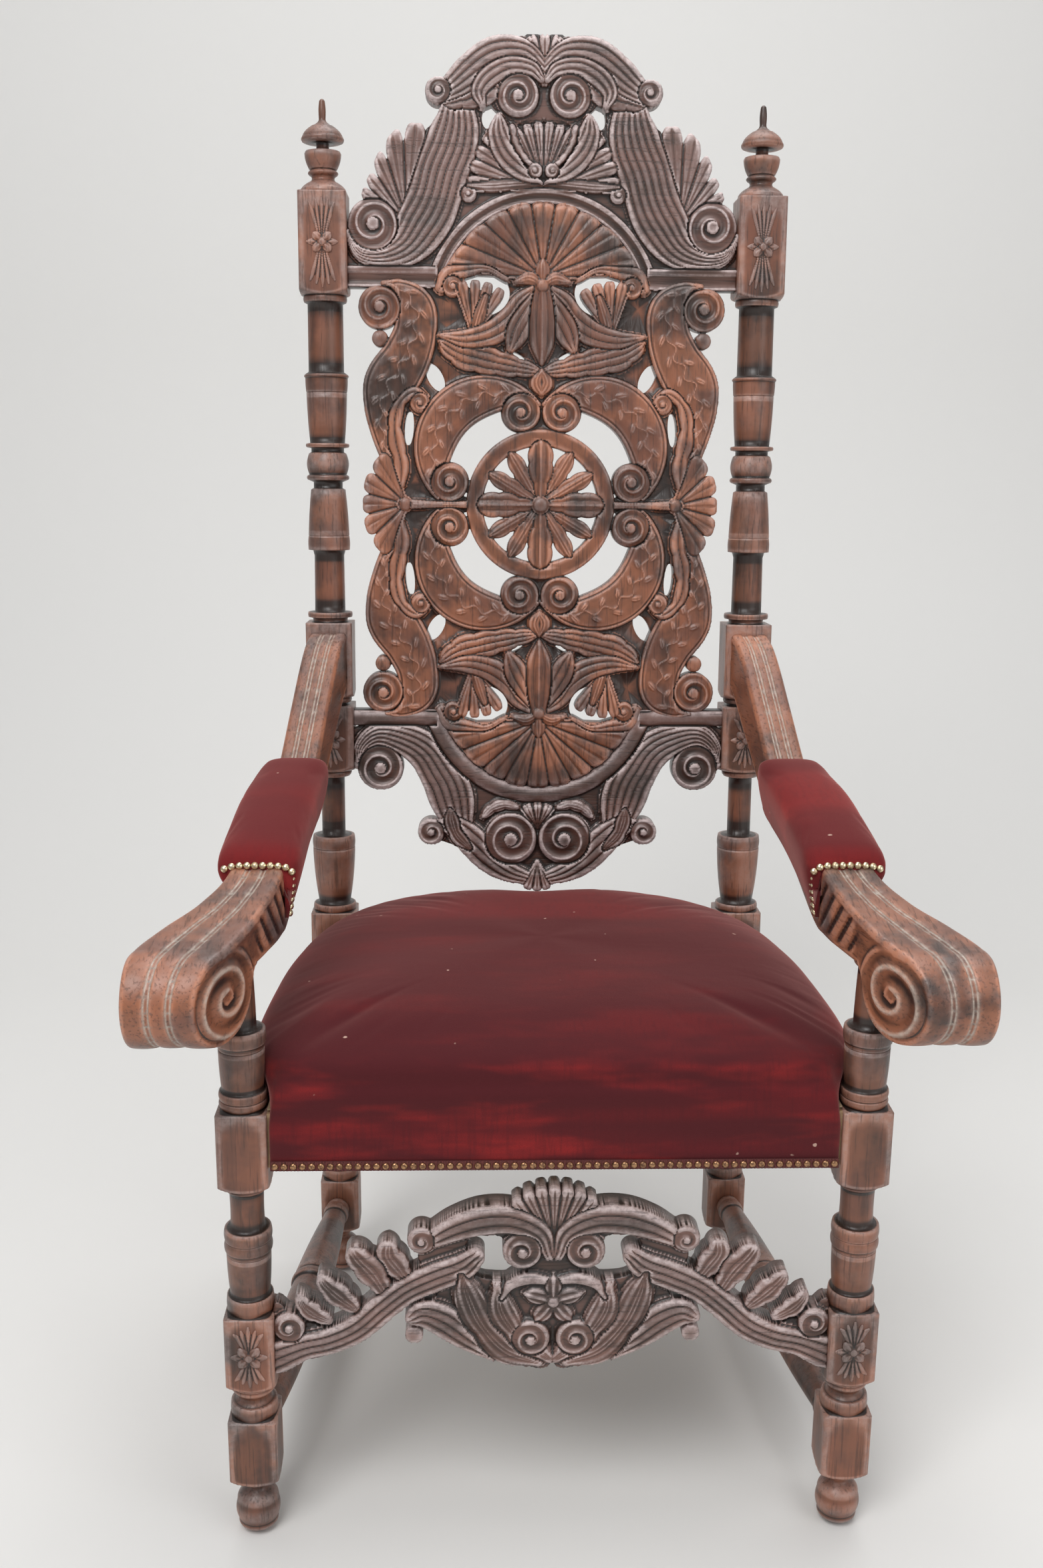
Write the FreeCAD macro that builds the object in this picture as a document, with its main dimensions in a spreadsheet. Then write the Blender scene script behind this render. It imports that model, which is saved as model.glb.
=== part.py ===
import FreeCAD, Part
import math
import os
import Sketcher
from FreeCAD import Placement, Rotation, Vector

# A carved high-back open armchair: turned and squared legs and posts, a pierced carved back,
# scrolled arms with velvet pads and a stuffed velvet seat.
# X runs across the chair, -Y is its front and Z is up. Millimetres and degrees.

SIZES = [
    ("leg_spacing", 540, "front legs, centre to centre"),
    ("post_spacing", 458, "rear posts, centre to centre"),
    ("leg_depth", 440, "front leg to rear post at the floor, centre to centre"),
    ("rake", 3, "lean of the back from upright, in degrees"),
    ("leg_block", 44, "side of a front leg's squared blocks"),
    ("post_block", 50, "side of a rear post's squared blocks"),
    ("foot_height", 57, "bun foot and its neck"),
    ("lower_block", 65, "squared block that takes the side stretcher"),
    ("lower_turning", 33, "turning between the two lower blocks of a front leg"),
    ("carved_block", 72, "squared block that takes the front stretcher"),
    ("leg_turning", 124, "turning below the seat block of a front leg"),
    ("seat_block", 72, "squared block that takes the seat rails"),
    ("arm_support", 133, "turned column between seat block and arm"),
    ("rear_lower_turning", 55, "turning of a rear leg below its stretcher block"),
    ("rear_stretcher_block", 50, "squared block that takes the rear stretcher"),
    ("rear_block_below", 83, "rear seat block, below the bend of the post"),
    ("rear_block_above", 31, "rear seat block, above the bend of the post"),
    ("base_turning", 162, "turning above the rear seat block"),
    ("rail_block", 73, "squared block that takes the lower back rail"),
    ("collar_turning", 9, "thin turning under the arm block"),
    ("arm_block", 82, "squared block that takes the arm"),
    ("post_turning", 343, "turning above the arm block"),
    ("top_block", 102, "squared block that takes the crest rail"),
    ("finial_height", 93, "turned finial"),
    ("dowel_radius", 6, "dowels of the finials, the arms and the turned stretchers"),
    ("dowel_length", 15, "reach of those dowels"),
    ("joint_clearance", 0.3, "gap round every tenon and dowel"),
    ("tenon_depth", 13, "reach of a rail's tenon into its block"),
    ("tenon_thickness", 10, "thickness of a rail's tenon"),
    ("tenon_shoulder", 8, "rail left above and below its tenon"),
    ("rail_height", 50, "seat rails"),
    ("rail_thickness", 22, "seat rails"),
    ("rail_setback", 6, "front rail behind the face of the leg blocks"),
    ("side_rail_inset", 7, "side rails inside the line between leg and post axes"),
    ("corner_block_side", 34, "glued corner blocks of the seat frame"),
    ("corner_block_drop", 6, "glued corner blocks below the top of the rails"),
    ("strap_width", 50, "webbing straps"),
    ("strap_thickness", 1.6, "webbing straps"),
    ("cloth_thickness", 1.2, "base cloth over the webbing"),
    ("cover_thickness", 4, "velvet and padding over the outside of the rails"),
    ("cover_gap", 0.3, "velvet off the wood that it passes"),
    ("seat_roll", 50, "side of the stuffed seat above the rails"),
    ("seat_crown", 17, "rise of the seat's middle above its edge"),
    ("seat_edge_inset", 9, "rounding in of the seat's top edge"),
    ("braid_height", 9, "braid along the lower edge of the front cover"),
    ("braid_thickness", 1.8, "braid along the lower edge of the front cover"),
    ("crest_rise", 8, "underside of the crest rail above the top block's underside"),
    ("crest_height", 250, "crest rail, underside of its straight rails to the top"),
    ("crest_rail_height", 22, "straight rails at the ends of the crest"),
    ("arch_radius", 110, "inner edge of the crest's and the lower rail's arches"),
    ("arch_drop", 24, "centre of each arch beyond the edge of its straight rails"),
    ("crest_arch_width", 14, "arch moulding of the crest"),
    ("lower_arch_width", 20, "arch moulding of the lower back rail"),
    ("lower_rail_drop", 5, "straight moulding of the lower back rail below its block's top"),
    ("lower_rail_height", 206, "lower back rail, straight moulding to the tail"),
    ("lower_rail_moulding", 18, "straight moulding of the lower back rail"),
    ("carving_ground", 15, "thickness of the pierced boards behind their relief"),
    ("carving_relief", 7, "relief of scrolls, rings and mouldings above the ground"),
    ("leaf_relief", 4, "relief of leaves and petals above the ground"),
    ("eye_relief", 10, "relief of bosses and of the eyes of scrolls"),
    ("ring_radius", 80, "ring in the middle of the back, outside"),
    ("ring_width", 17, "ring in the middle of the back"),
    ("stretcher_height", 177, "front stretcher, lowest leaf to the top of the palmette"),
    ("stretcher_base", 175, "front stretcher's lowest leaf above the floor"),
    ("side_stretcher_radius", 21, "side stretchers at their widest"),
    ("side_stretcher_gap", 1.6, "slanted side stretchers off the faces of their blocks"),
    ("rear_stretcher_radius", 15, "rear stretcher at its middle"),
    ("arm_roll_radius", 41, "rolled end of the arm"),
    ("arm_overhang", 58, "axis of the rolled end in front of the front leg"),
    ("arm_drop", 9, "axis of the rolled end below the top of the arm support"),
    ("arm_end_thickness", 60, "arm where it meets the rear post"),
    ("arm_end_drop", 8, "top of the arm below the top of the arm block"),
    ("arm_tail_width", 40, "arm where it meets the rear post"),
    ("arm_waist", 46, "arm under its pad"),
    ("arm_width", 78, "rolled end of the arm"),
    ("arm_spread", 350, "outer face of the rolled end from the chair's middle"),
    ("pad_thickness", 9, "arm pad above the wood"),
    ("pad_overhang", 15, "arm pad beyond the sides of the arm"),
    ("pad_front", 78, "front end of the arm pad behind the front leg"),
    ("pad_length", 222, "arm pad"),
    ("pad_drop", 14, "sides of the arm pad below the top of the wood"),
    ("tongue_width", 60, "tongues of the back panel in the arches"),
    ("tongue_depth", 8, "tongues of the back panel in the arches"),
    ("tongue_thickness", 6, "tongues of the back panel in the arches"),
]

doc = FreeCAD.newDocument("carved_armchair")
sheet = doc.addObject("Spreadsheet::Sheet", "Sizes")
for row, (alias, value, note) in enumerate(SIZES, start=1):
    sheet.set(f"A{row}", alias)
    sheet.set(f"B{row}", str(value))
    sheet.set(f"C{row}", note)
    sheet.setAlias(f"B{row}", alias)
doc.recompute()


class Size:
    """A size as an expression on the sheet, with ordinary arithmetic."""

    def __init__(self, text):
        self.text = str(text)

    def __add__(self, other):
        return Size(f"({self} + {other})")

    def __radd__(self, other):
        return Size(f"({other} + {self})")

    def __sub__(self, other):
        return Size(f"({self} - {other})")

    def __mul__(self, other):
        return Size(f"({self} * {other})")

    def __rmul__(self, other):
        return Size(f"({other} * {self})")

    def __truediv__(self, other):
        return Size(f"({self} / {other})")

    def __neg__(self):
        return Size(f"(0 - {self})")

    def __str__(self):
        return self.text

    @property
    def mm(self):
        """The size as a number, for a shape that code works out."""
        return float(sheet.evalExpression(self.text))


class Sheet:
    """Every alias of the sheet as a Size, such as S.leg_block."""

    def __getattr__(self, alias):
        return Size(f"Sizes.{alias}")


S = Sheet()
ZERO = Size(0)
SIN_RAKE = Size("sin(Sizes.rake * 1 deg)")
COS_RAKE = Size("cos(Sizes.rake * 1 deg)")
TAN_HALF_RAKE = Size("tan(Sizes.rake / 2 * 1 deg)")

# Heights on a front leg
LOWER_BLOCK_Z = S.foot_height
LOWER_TURNING_Z = LOWER_BLOCK_Z + S.lower_block
CARVED_BLOCK_Z = LOWER_TURNING_Z + S.lower_turning
LEG_TURNING_Z = CARVED_BLOCK_Z + S.carved_block
SEAT_BLOCK_Z = LEG_TURNING_Z + S.leg_turning
SEAT_TOP_Z = SEAT_BLOCK_Z + S.seat_block
ARM_SEAT_Z = SEAT_TOP_Z + S.arm_support
RAIL_Z = SEAT_TOP_Z - S.rail_height

# Heights on a rear post: Z up to its bend at the top of the rails, then along the raked post
BEND_Z = SEAT_TOP_Z
REAR_BLOCK_Z = BEND_Z - S.rear_block_below
REAR_STRETCHER_BLOCK_Z = LOWER_TURNING_Z + S.rear_lower_turning
REAR_TURNING_Z = REAR_STRETCHER_BLOCK_Z + S.rear_stretcher_block
REAR_TURNING = REAR_BLOCK_Z - REAR_TURNING_Z
BASE_UP = S.rear_block_above
RAIL_BLOCK_UP = BASE_UP + S.base_turning
COLLAR_UP = RAIL_BLOCK_UP + S.rail_block
ARM_BLOCK_UP = COLLAR_UP + S.collar_turning
POST_TURNING_UP = ARM_BLOCK_UP + S.arm_block
TOP_BLOCK_UP = POST_TURNING_UP + S.post_turning
FINIAL_UP = TOP_BLOCK_UP + S.top_block

# Plan: the origin is midway between the arms' rolled ends and the back of the top blocks
FRONT_REACH = S.arm_overhang + S.arm_roll_radius
REAR_REACH = FINIAL_UP * SIN_RAKE + S.post_block / 2 * COS_RAKE
LEG_X = S.leg_spacing / 2
POST_X = S.post_spacing / 2
LEG_Y = (FRONT_REACH - S.leg_depth - REAR_REACH) / 2
POST_Y = LEG_Y + S.leg_depth
LEG_HALF = S.leg_block / 2
POST_HALF = S.post_block / 2
LEG_INNER_X = LEG_X - LEG_HALF
HALF_OPENING = POST_X - POST_HALF
SPLAY = (S.leg_spacing - S.post_spacing) / 2

# The back, in distances along the raked posts
CREST_UP = TOP_BLOCK_UP + S.crest_rise
LOWER_RAIL_UP = COLLAR_UP - S.lower_rail_drop
PANEL_UP = (CREST_UP + LOWER_RAIL_UP) / 2
PANEL_REACH = (CREST_UP - LOWER_RAIL_UP) / 2 - S.arch_drop + S.arch_radius

pieces = []


def piece(obj, label):
    """Keeps the object of one sub-part under its own name."""
    obj.Label = label
    pieces.append(obj)
    return obj


def bind(obj, sizes):
    """Binds properties to sizes, by path."""
    for path, size in sizes.items():
        obj.setExpression(path, str(size))


def place(obj, x, y, z):
    """Puts an object's own origin at x, y and z."""
    bind(obj, {".Placement.Base.x": x, ".Placement.Base.y": y, ".Placement.Base.z": z})


def place_raked(obj, x, y, up):
    """Places an object on the raked back: y is behind the posts' axis, up is from the bend."""
    obj.Placement = Placement(Vector(), Rotation(Vector(-1, 0, 0), S.rake.mm))
    bind(obj, {".Placement.Rotation.Angle": "Sizes.rake * 1 deg"})
    place(obj, x, POST_Y + y * COS_RAKE + up * SIN_RAKE, BEND_Z - y * SIN_RAKE + up * COS_RAKE)


def origin_plane(body, role):
    return next(item for item in body.Origin.OriginFeatures if item.Role == role)


def sketch(body, name, role, points):
    """A closed outline of straight lines on an origin plane, each corner bound to its sizes."""
    outline = body.newObject("Sketcher::SketchObject", name)
    outline.AttachmentSupport = [(origin_plane(body, role), "")]
    outline.MapMode = "FlatFace"
    places = [Vector(across.mm, up.mm, 0) for across, up in points]
    lines = [
        outline.addGeometry(Part.LineSegment(start, end), False)
        for start, end in zip(places, places[1:] + places[:1])
    ]
    outline.addConstraint([
        Sketcher.Constraint("Coincident", lines[index - 1], 2, lines[index], 1)
        for index in range(len(lines))
    ])
    for line, (across, up) in zip(lines, points):
        for kind, size, axis in (("DistanceX", across, -2), ("DistanceY", up, -1)):
            if size is ZERO:
                outline.addConstraint(Sketcher.Constraint("PointOnObject", line, 1, axis))
            else:
                number = outline.addConstraint(Sketcher.Constraint(kind, -1, 1, line, 1, size.mm))
                outline.setExpression(f"Constraints[{number}]", str(size))
    outline.Visibility = False
    return outline


def turn(body, name, role, base, length, radius, turning_shares):
    """One turned stretch. Its table holds places as (share of length, share of radius)."""
    points = [(ZERO, base)]
    points += [(radius * out, base + length * along) for along, out in turning_shares]
    points.append((ZERO, base + length))
    turned = body.newObject("PartDesign::Revolution", name)
    turned.Profile = sketch(body, f"{name}_outline", role, points)
    turned.ReferenceAxis = (turned.Profile[0], ["V_Axis"])
    turned.Angle = 360


def block(body, name, side, base, height):
    """One squared block of a leg or post, centred on its axis."""
    squared = body.newObject("PartDesign::AdditiveBox", name)
    squared.AttachmentSupport = [(origin_plane(body, "XY_Plane"), "")]
    squared.MapMode = "FlatFace"
    bind(squared, {
        "Length": side, "Width": side, "Height": height,
        ".AttachmentOffset.Base.x": -side / 2,
        ".AttachmentOffset.Base.y": -side / 2,
        ".AttachmentOffset.Base.z": base,
    })


def box(name, corner, sides):
    """A plain box object from its lowest corner."""
    made = doc.addObject("Part::Box", name)
    bind(made, dict(zip(("Length", "Width", "Height"), sides)))
    place(made, *corner)
    return made


def raked_box(name, corner, sides):
    """A plain box on the raked back."""
    made = box(name, (ZERO, ZERO, ZERO), sides)
    place_raked(made, *corner)
    return made


def join(name, parts):
    made = doc.addObject("Part::MultiFuse", name)
    made.Shapes = parts
    made.Refine = True
    return made


def cut(name, base, tools):
    """The base without the tools, which are grouped first."""
    group = doc.addObject("Part::Compound", f"{name}_tools")
    group.Links = tools
    made = doc.addObject("Part::Cut", name)
    made.Base = base
    made.Tool = group
    return made


def mirrored(obj, label):
    """The right-hand twin of a left-hand piece."""
    twin = doc.addObject("Part::Mirroring", label)
    twin.Source = obj
    twin.Normal = Vector(1, 0, 0)
    return piece(twin, label)


def mortise(name, corner, sides, raked=False):
    """The space of a tenon, wider than the tenon by the clearance on every side."""
    gap = S.joint_clearance
    wider = [side + gap * 2 for side in sides]
    lower = [place_at - gap for place_at in corner]
    return raked_box(name, lower, wider) if raked else box(name, lower, wider)


# Turned profiles, from the lower end up, as shares of a stretch's length and of its radius
PLAIN_SHARES = [(0, 1), (1, 1)]
COLLAR_SHARE = 0.75
foot_shares = [(0, 0.60), (0.28, 0.88), (0.66, 0.88), (0.66, 0.48), (1, 0.48)]
lower_turning_shares = [(0, 0.88), (0.40, 0.88), (0.40, 0.72), (1, 0.72)]
leg_turning_shares = [(0, 0.86), (0.48, 0.86), (0.48, 0.94), (0.66, 0.94), (0.66, 0.69), (1, 0.69)]
arm_support_shares = [(0, 0.87), (0.43, 0.87), (0.43, 0.95), (0.53, 0.95), (0.53, 0.59), (1, 0.59)]
rear_turning_shares = [(0, 0.72), (1, 0.72)]
base_turning_shares = [(0, 0.74), (0.54, 0.95), (0.54, 0.53), (1, 0.53)]
post_turning_shares = [
    (0, 0.65), (0.22, 0.65), (0.22, 0.90), (0.44, 0.74), (0.44, 0.90), (0.55, 0.90),
    (0.55, 0.76), (0.77, 0.92), (0.77, 0.74), (1, 0.74),
]
finial_shares = [
    (0, 0.94), (0.18, 0.52), (0.45, 0.76), (0.45, 0.30), (0.54, 0.30), (0.54, 0.84), (0.76, 0.16),
    (1, 0.16),
]
side_stretcher_shares = [(0, 0.68), (0.26, 0.68), (0.26, 0.96), (0.74, 0.96), (0.74, 0.68), (1, 0.68)]
rear_stretcher_shares = [(0, 0.85), (1, 0.85)]


def front_leg():
    body = doc.addObject("PartDesign::Body", "front_leg_turned")
    turn(body, "foot", "XZ_Plane", ZERO, S.foot_height, LEG_HALF, foot_shares)
    block(body, "lower", S.leg_block, LOWER_BLOCK_Z, S.lower_block)
    turn(body, "lower_turning", "XZ_Plane", LOWER_TURNING_Z, S.lower_turning, LEG_HALF,
         lower_turning_shares)
    block(body, "carved", S.leg_block, CARVED_BLOCK_Z, S.carved_block)
    turn(body, "leg_turning", "XZ_Plane", LEG_TURNING_Z, S.leg_turning, LEG_HALF,
         leg_turning_shares)
    block(body, "seat", S.leg_block, SEAT_BLOCK_Z, S.seat_block)
    turn(body, "arm_support", "XZ_Plane", SEAT_TOP_Z, S.arm_support, LEG_HALF,
         arm_support_shares)
    turn(body, "arm_dowel", "XZ_Plane", ARM_SEAT_Z, S.dowel_length, S.dowel_radius, PLAIN_SHARES)
    place(body, -LEG_X, LEG_Y, ZERO)
    return body


def rear_post():
    """The lower leg stands upright, the upper post leans back, and the seat block is mitred."""
    lower = doc.addObject("PartDesign::Body", "post_below_seat")
    turn(lower, "rear_foot", "XZ_Plane", ZERO, S.foot_height, LEG_HALF, foot_shares)
    block(lower, "rear_lower", S.leg_block, LOWER_BLOCK_Z, S.lower_block)
    turn(lower, "rear_lower_turning", "XZ_Plane", LOWER_TURNING_Z, S.rear_lower_turning,
         LEG_HALF, rear_turning_shares)
    block(lower, "rear_stretcher_square", S.leg_block, REAR_STRETCHER_BLOCK_Z, S.rear_stretcher_block)
    turn(lower, "rear_turning", "XZ_Plane", REAR_TURNING_Z, REAR_TURNING, LEG_HALF,
         rear_turning_shares)
    place(lower, -POST_X, POST_Y, ZERO)

    seat = doc.addObject("PartDesign::Body", "post_seat_block")
    half, above = POST_HALF, S.rear_block_above
    faces = sketch(seat, "seat_block_side", "YZ_Plane", [
        (-half, -S.rear_block_below),
        (half, -S.rear_block_below),
        (half, -half * TAN_HALF_RAKE),
        (half * COS_RAKE + above * SIN_RAKE, above * COS_RAKE - half * SIN_RAKE),
        (above * SIN_RAKE - half * COS_RAKE, above * COS_RAKE + half * SIN_RAKE),
        (-half, half * TAN_HALF_RAKE),
    ])
    pad = seat.newObject("PartDesign::Pad", "seat_block_width")
    pad.Profile = faces
    pad.Midplane = True
    bind(pad, {"Length": S.post_block})
    place(seat, -POST_X, POST_Y, BEND_Z)

    upper = doc.addObject("PartDesign::Body", "post_above_seat")
    turn(upper, "base_turning", "XZ_Plane", BASE_UP, S.base_turning, POST_HALF, base_turning_shares)
    block(upper, "rail", S.post_block, RAIL_BLOCK_UP, S.rail_block)
    turn(upper, "collar", "XZ_Plane", COLLAR_UP, S.collar_turning, POST_HALF * COLLAR_SHARE,
         PLAIN_SHARES)
    block(upper, "arm", S.post_block, ARM_BLOCK_UP, S.arm_block)
    turn(upper, "post_turning", "XZ_Plane", POST_TURNING_UP, S.post_turning, POST_HALF,
         post_turning_shares)
    block(upper, "top", S.post_block, TOP_BLOCK_UP, S.top_block)
    place_raked(upper, -POST_X, ZERO, ZERO)
    return join("rear_post_whole", [lower, seat, upper])


def finial():
    body = doc.addObject("PartDesign::Body", "finial_turned")
    turn(body, "finial", "XZ_Plane", ZERO, S.finial_height, POST_HALF, finial_shares)
    turn(body, "finial_dowel", "XZ_Plane", -S.dowel_length, S.dowel_length, S.dowel_radius,
         PLAIN_SHARES)
    place_raked(body, -POST_X, ZERO, FINIAL_UP)
    return body


# Tenons of the seat rails, the carved rails and the front stretcher, each a corner and its sides
TENON_HEIGHT = S.rail_height - S.tenon_shoulder * 2
TENON_Z = RAIL_Z + S.tenon_shoulder
HALF_TENON = S.tenon_thickness / 2
FRONT_RAIL_Y = LEG_Y - LEG_HALF + S.rail_setback
REAR_RAIL_Y = POST_Y + HALF_TENON - S.rail_thickness / 2
SIDE_RAIL_FRONT_Y = LEG_Y + LEG_HALF
SIDE_RAIL_REAR_Y = POST_Y - POST_HALF


def side_rail_x(y):
    """Distance of a side rail's middle from the chair's middle, at a place along it."""
    return LEG_X - S.side_rail_inset - SPLAY * (y - LEG_Y) / S.leg_depth


FRONT_TENON = (
    (-LEG_INNER_X - S.tenon_depth, FRONT_RAIL_Y, TENON_Z),
    (S.tenon_depth, S.tenon_thickness, TENON_HEIGHT),
)
REAR_TENON = (
    (-HALF_OPENING - S.tenon_depth, POST_Y, TENON_Z),
    (S.tenon_depth, S.tenon_thickness, TENON_HEIGHT),
)
SIDE_FRONT_TENON = (
    (-side_rail_x(SIDE_RAIL_FRONT_Y) - HALF_TENON, SIDE_RAIL_FRONT_Y - S.tenon_depth, TENON_Z),
    (S.tenon_thickness, S.tenon_depth, TENON_HEIGHT),
)
SIDE_REAR_TENON = (
    (-side_rail_x(SIDE_RAIL_REAR_Y) - HALF_TENON, SIDE_RAIL_REAR_Y, TENON_Z),
    (S.tenon_thickness, S.tenon_depth, TENON_HEIGHT),
)
STRETCHER_TENON = (
    (-LEG_INNER_X - S.tenon_depth, LEG_Y - HALF_TENON, CARVED_BLOCK_Z + S.carved_block / 3),
    (S.tenon_depth, S.tenon_thickness, S.carved_block / 3),
)
CREST_TENON = (
    (-HALF_OPENING - S.tenon_depth, -HALF_TENON, CREST_UP + S.tenon_shoulder / 2),
    (S.tenon_depth, S.tenon_thickness, S.crest_rail_height - S.tenon_shoulder),
)
LOWER_TENON = (
    (-HALF_OPENING - S.tenon_depth, -HALF_TENON, LOWER_RAIL_UP - S.lower_rail_moulding
     + S.tenon_shoulder / 2),
    (S.tenon_depth, S.tenon_thickness, S.lower_rail_moulding - S.tenon_shoulder),
)
ARM_END_UP = ARM_BLOCK_UP + S.arm_block - S.arm_end_drop
ARM_TENON = (
    (-POST_X - HALF_TENON, -POST_HALF, ARM_END_UP - S.arm_end_thickness + S.tenon_shoulder),
    (S.tenon_thickness, S.tenon_depth, S.arm_end_thickness - S.tenon_shoulder * 2),
)

# A side stretcher slants with the seat, from the front leg's lower block to the rear post's
STRETCHER_Z = LOWER_BLOCK_Z + S.lower_block / 2
STRETCHER_ANGLE = Size(f"atan({SPLAY} / {S.leg_depth})")
STRETCHER_START = LEG_HALF + S.side_stretcher_gap
STRETCHER_LENGTH = Size(f"sqrt({SPLAY}^2 + {S.leg_depth}^2)") - STRETCHER_START * 2
REAR_STRETCHER_Z = REAR_STRETCHER_BLOCK_Z + S.rear_stretcher_block / 2


def side_stretcher(name, grow=ZERO):
    """The left stretcher. Grown, it is only the space of its dowels."""
    body = doc.addObject("PartDesign::Body", name)
    if grow is ZERO:
        turn(body, f"{name}_turning", "XY_Plane", STRETCHER_START, STRETCHER_LENGTH,
             S.side_stretcher_radius, side_stretcher_shares)
    turn(body, f"{name}_dowels", "XY_Plane", STRETCHER_START - S.dowel_length - grow,
         STRETCHER_LENGTH + S.dowel_length * 2 + grow * 2, S.dowel_radius + grow, PLAIN_SHARES)
    body.Placement = Placement(Vector(), Rotation(Vector(0, 0, -1), STRETCHER_ANGLE.mm))
    bind(body, {".Placement.Rotation.Angle": STRETCHER_ANGLE})
    place(body, -LEG_X, LEG_Y, STRETCHER_Z)
    return body


def rear_stretcher(name, grow=ZERO):
    """The stretcher between the rear legs. Grown, it is only the space of its dowels."""
    body = doc.addObject("PartDesign::Body", name)
    reach = POST_X - LEG_HALF
    if grow is ZERO:
        turn(body, f"{name}_turning", "XZ_Plane", -reach, reach * 2, S.rear_stretcher_radius,
             rear_stretcher_shares)
    turn(body, f"{name}_dowels", "XZ_Plane", -reach - S.dowel_length - grow,
         (reach + S.dowel_length + grow) * 2, S.dowel_radius + grow, PLAIN_SHARES)
    quarter_turn = 90
    body.Placement = Placement(Vector(), Rotation(Vector(0, 1, 0), quarter_turn))
    place(body, ZERO, POST_Y, REAR_STRETCHER_Z)
    return body


def socket(name, up, raked):
    """The space of an upright dowel that stands up from its own origin plane."""
    made = doc.addObject("Part::Cylinder", name)
    bind(made, {
        "Radius": S.dowel_radius + S.joint_clearance,
        "Height": S.dowel_length + S.joint_clearance,
    })
    if raked:
        place_raked(made, -POST_X, ZERO, up - S.dowel_length - S.joint_clearance)
    else:
        place(made, -LEG_X, LEG_Y, up)
    return made


# Carved boards lie on their backs while they are made: x across, y up, z out of the front
HALF_BOARD = S.carving_ground / 2
GROUND = S.carving_ground.mm
LEAF = GROUND + S.leaf_relief.mm
SCROLL = GROUND + S.carving_relief.mm
EYE = GROUND + S.eye_relief.mm


def prism(points, depth):
    return Part.Face(Part.makePolygon(points + points[:1])).extrude(Vector(0, 0, depth))


def slab(left, right, bottom, top, depth):
    return Part.makeBox(right - left, top - bottom, depth, Vector(left, bottom, 0))


def arch_band(centre, inner, width, depth):
    whole = Part.makeCylinder(inner + width, depth, centre)
    return whole.cut(Part.makeCylinder(inner, depth, centre))


def bent_share(share, knee_share, knee, full):
    """A length along a board: a share up to the knee follows the knee's own length, and one
    beyond it follows what the board has left."""
    if abs(share) <= knee_share:
        length = abs(share) / knee_share * knee
    else:
        length = knee + (abs(share) - knee_share) / (1 - knee_share) * (full - knee)
    return math.copysign(length, share)


# Where the inner edge of an arch meets a board's straight edge, as a share of its half width
ARCH_SHARE = 0.54


class Carving:
    """The members of one carved board, for its right half.

    Places are shares of the board's half width and height, radii shares of its half width. An
    arch carries those nearest to it, so places follow its radius sideways and its crown upwards.
    """

    def __init__(self, half, height, arch=None, crown=None, crown_share=0.5):
        self.half, self.height = half.mm, height.mm
        self.arch = arch.mm if arch else ARCH_SHARE * self.half
        self.crown_share = crown_share
        self.crown = crown.mm if crown else crown_share * self.height
        self.members = []

    def at(self, place_share):
        across, up = place_share
        return Vector(bent_share(across, ARCH_SHARE, self.arch, self.half),
                      bent_share(up, self.crown_share, self.crown, self.height), 0)

    def disc(self, place_share, radius_share, depth):
        """A boss or the end of a scroll, knifed round in twelve even facets."""
        facets = 12
        centre, radius = self.at(place_share), radius_share * self.half
        turns = [math.tau * (step + 0.5) / facets for step in range(facets)]
        self.members.append(prism([
            centre + Vector(math.cos(turn_to), math.sin(turn_to), 0) * radius for turn_to in turns
        ], depth))

    def member(self, outline_shares, depth):
        """A leaf or scroll sawn to its outline."""
        self.members.append(prism([self.at(share) for share in outline_shares], depth))

    def petal(self, root_share, tip_share, width_share, depth):
        """A petal from its root to its tip, widest past its middle."""
        root, tip = self.at(root_share), self.at(tip_share)
        along = tip - root
        across = Vector(along.y, -along.x, 0).normalize() * (width_share * self.half / 2)
        neck, belly = root + along * 0.3, root + along * 0.75
        self.members.append(prism([
            root, neck + across * 0.6, belly + across, tip, belly - across, neck - across * 0.6,
        ], depth))

    def whole(self, plain, up_and_down=False):
        """All members with their mirror images and the board's own plain parts."""
        shapes = list(self.members)
        shapes += [shape.mirror(Vector(), Vector(1, 0, 0)) for shape in shapes]
        if up_and_down:
            shapes += [shape.mirror(Vector(), Vector(0, 1, 0)) for shape in shapes]
        return shapes[0].multiFuse(shapes[1:] + plain).removeSplitter()


def board(name, shape, up, lean):
    """Stands a carved board up, with the middle of its ground on the plane of its posts."""
    made = doc.addObject("Part::Feature", name)
    made.Shape = shape
    square_turn = 90
    tilt = Rotation(Vector(1, 0, 0), square_turn - lean.mm)
    if lean is ZERO:
        centre = Vector(0, (LEG_Y + HALF_BOARD).mm, up.mm)
    else:
        centre = Vector(
            0,
            (POST_Y + HALF_BOARD * COS_RAKE + up * SIN_RAKE).mm,
            (BEND_Z - HALF_BOARD * SIN_RAKE + up * COS_RAKE).mm,
        )
    made.Placement = Placement(centre, tilt)
    return made


def both_tenons(name, tenon, raked):
    """A rail's left tenon and its mirror image."""
    left = raked_box(f"{name}_tenon", *tenon) if raked else box(f"{name}_tenon", *tenon)
    right = doc.addObject("Part::Mirroring", f"{name}_tenon_right")
    right.Source = left
    right.Normal = Vector(1, 0, 0)
    return [left, right]


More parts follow.
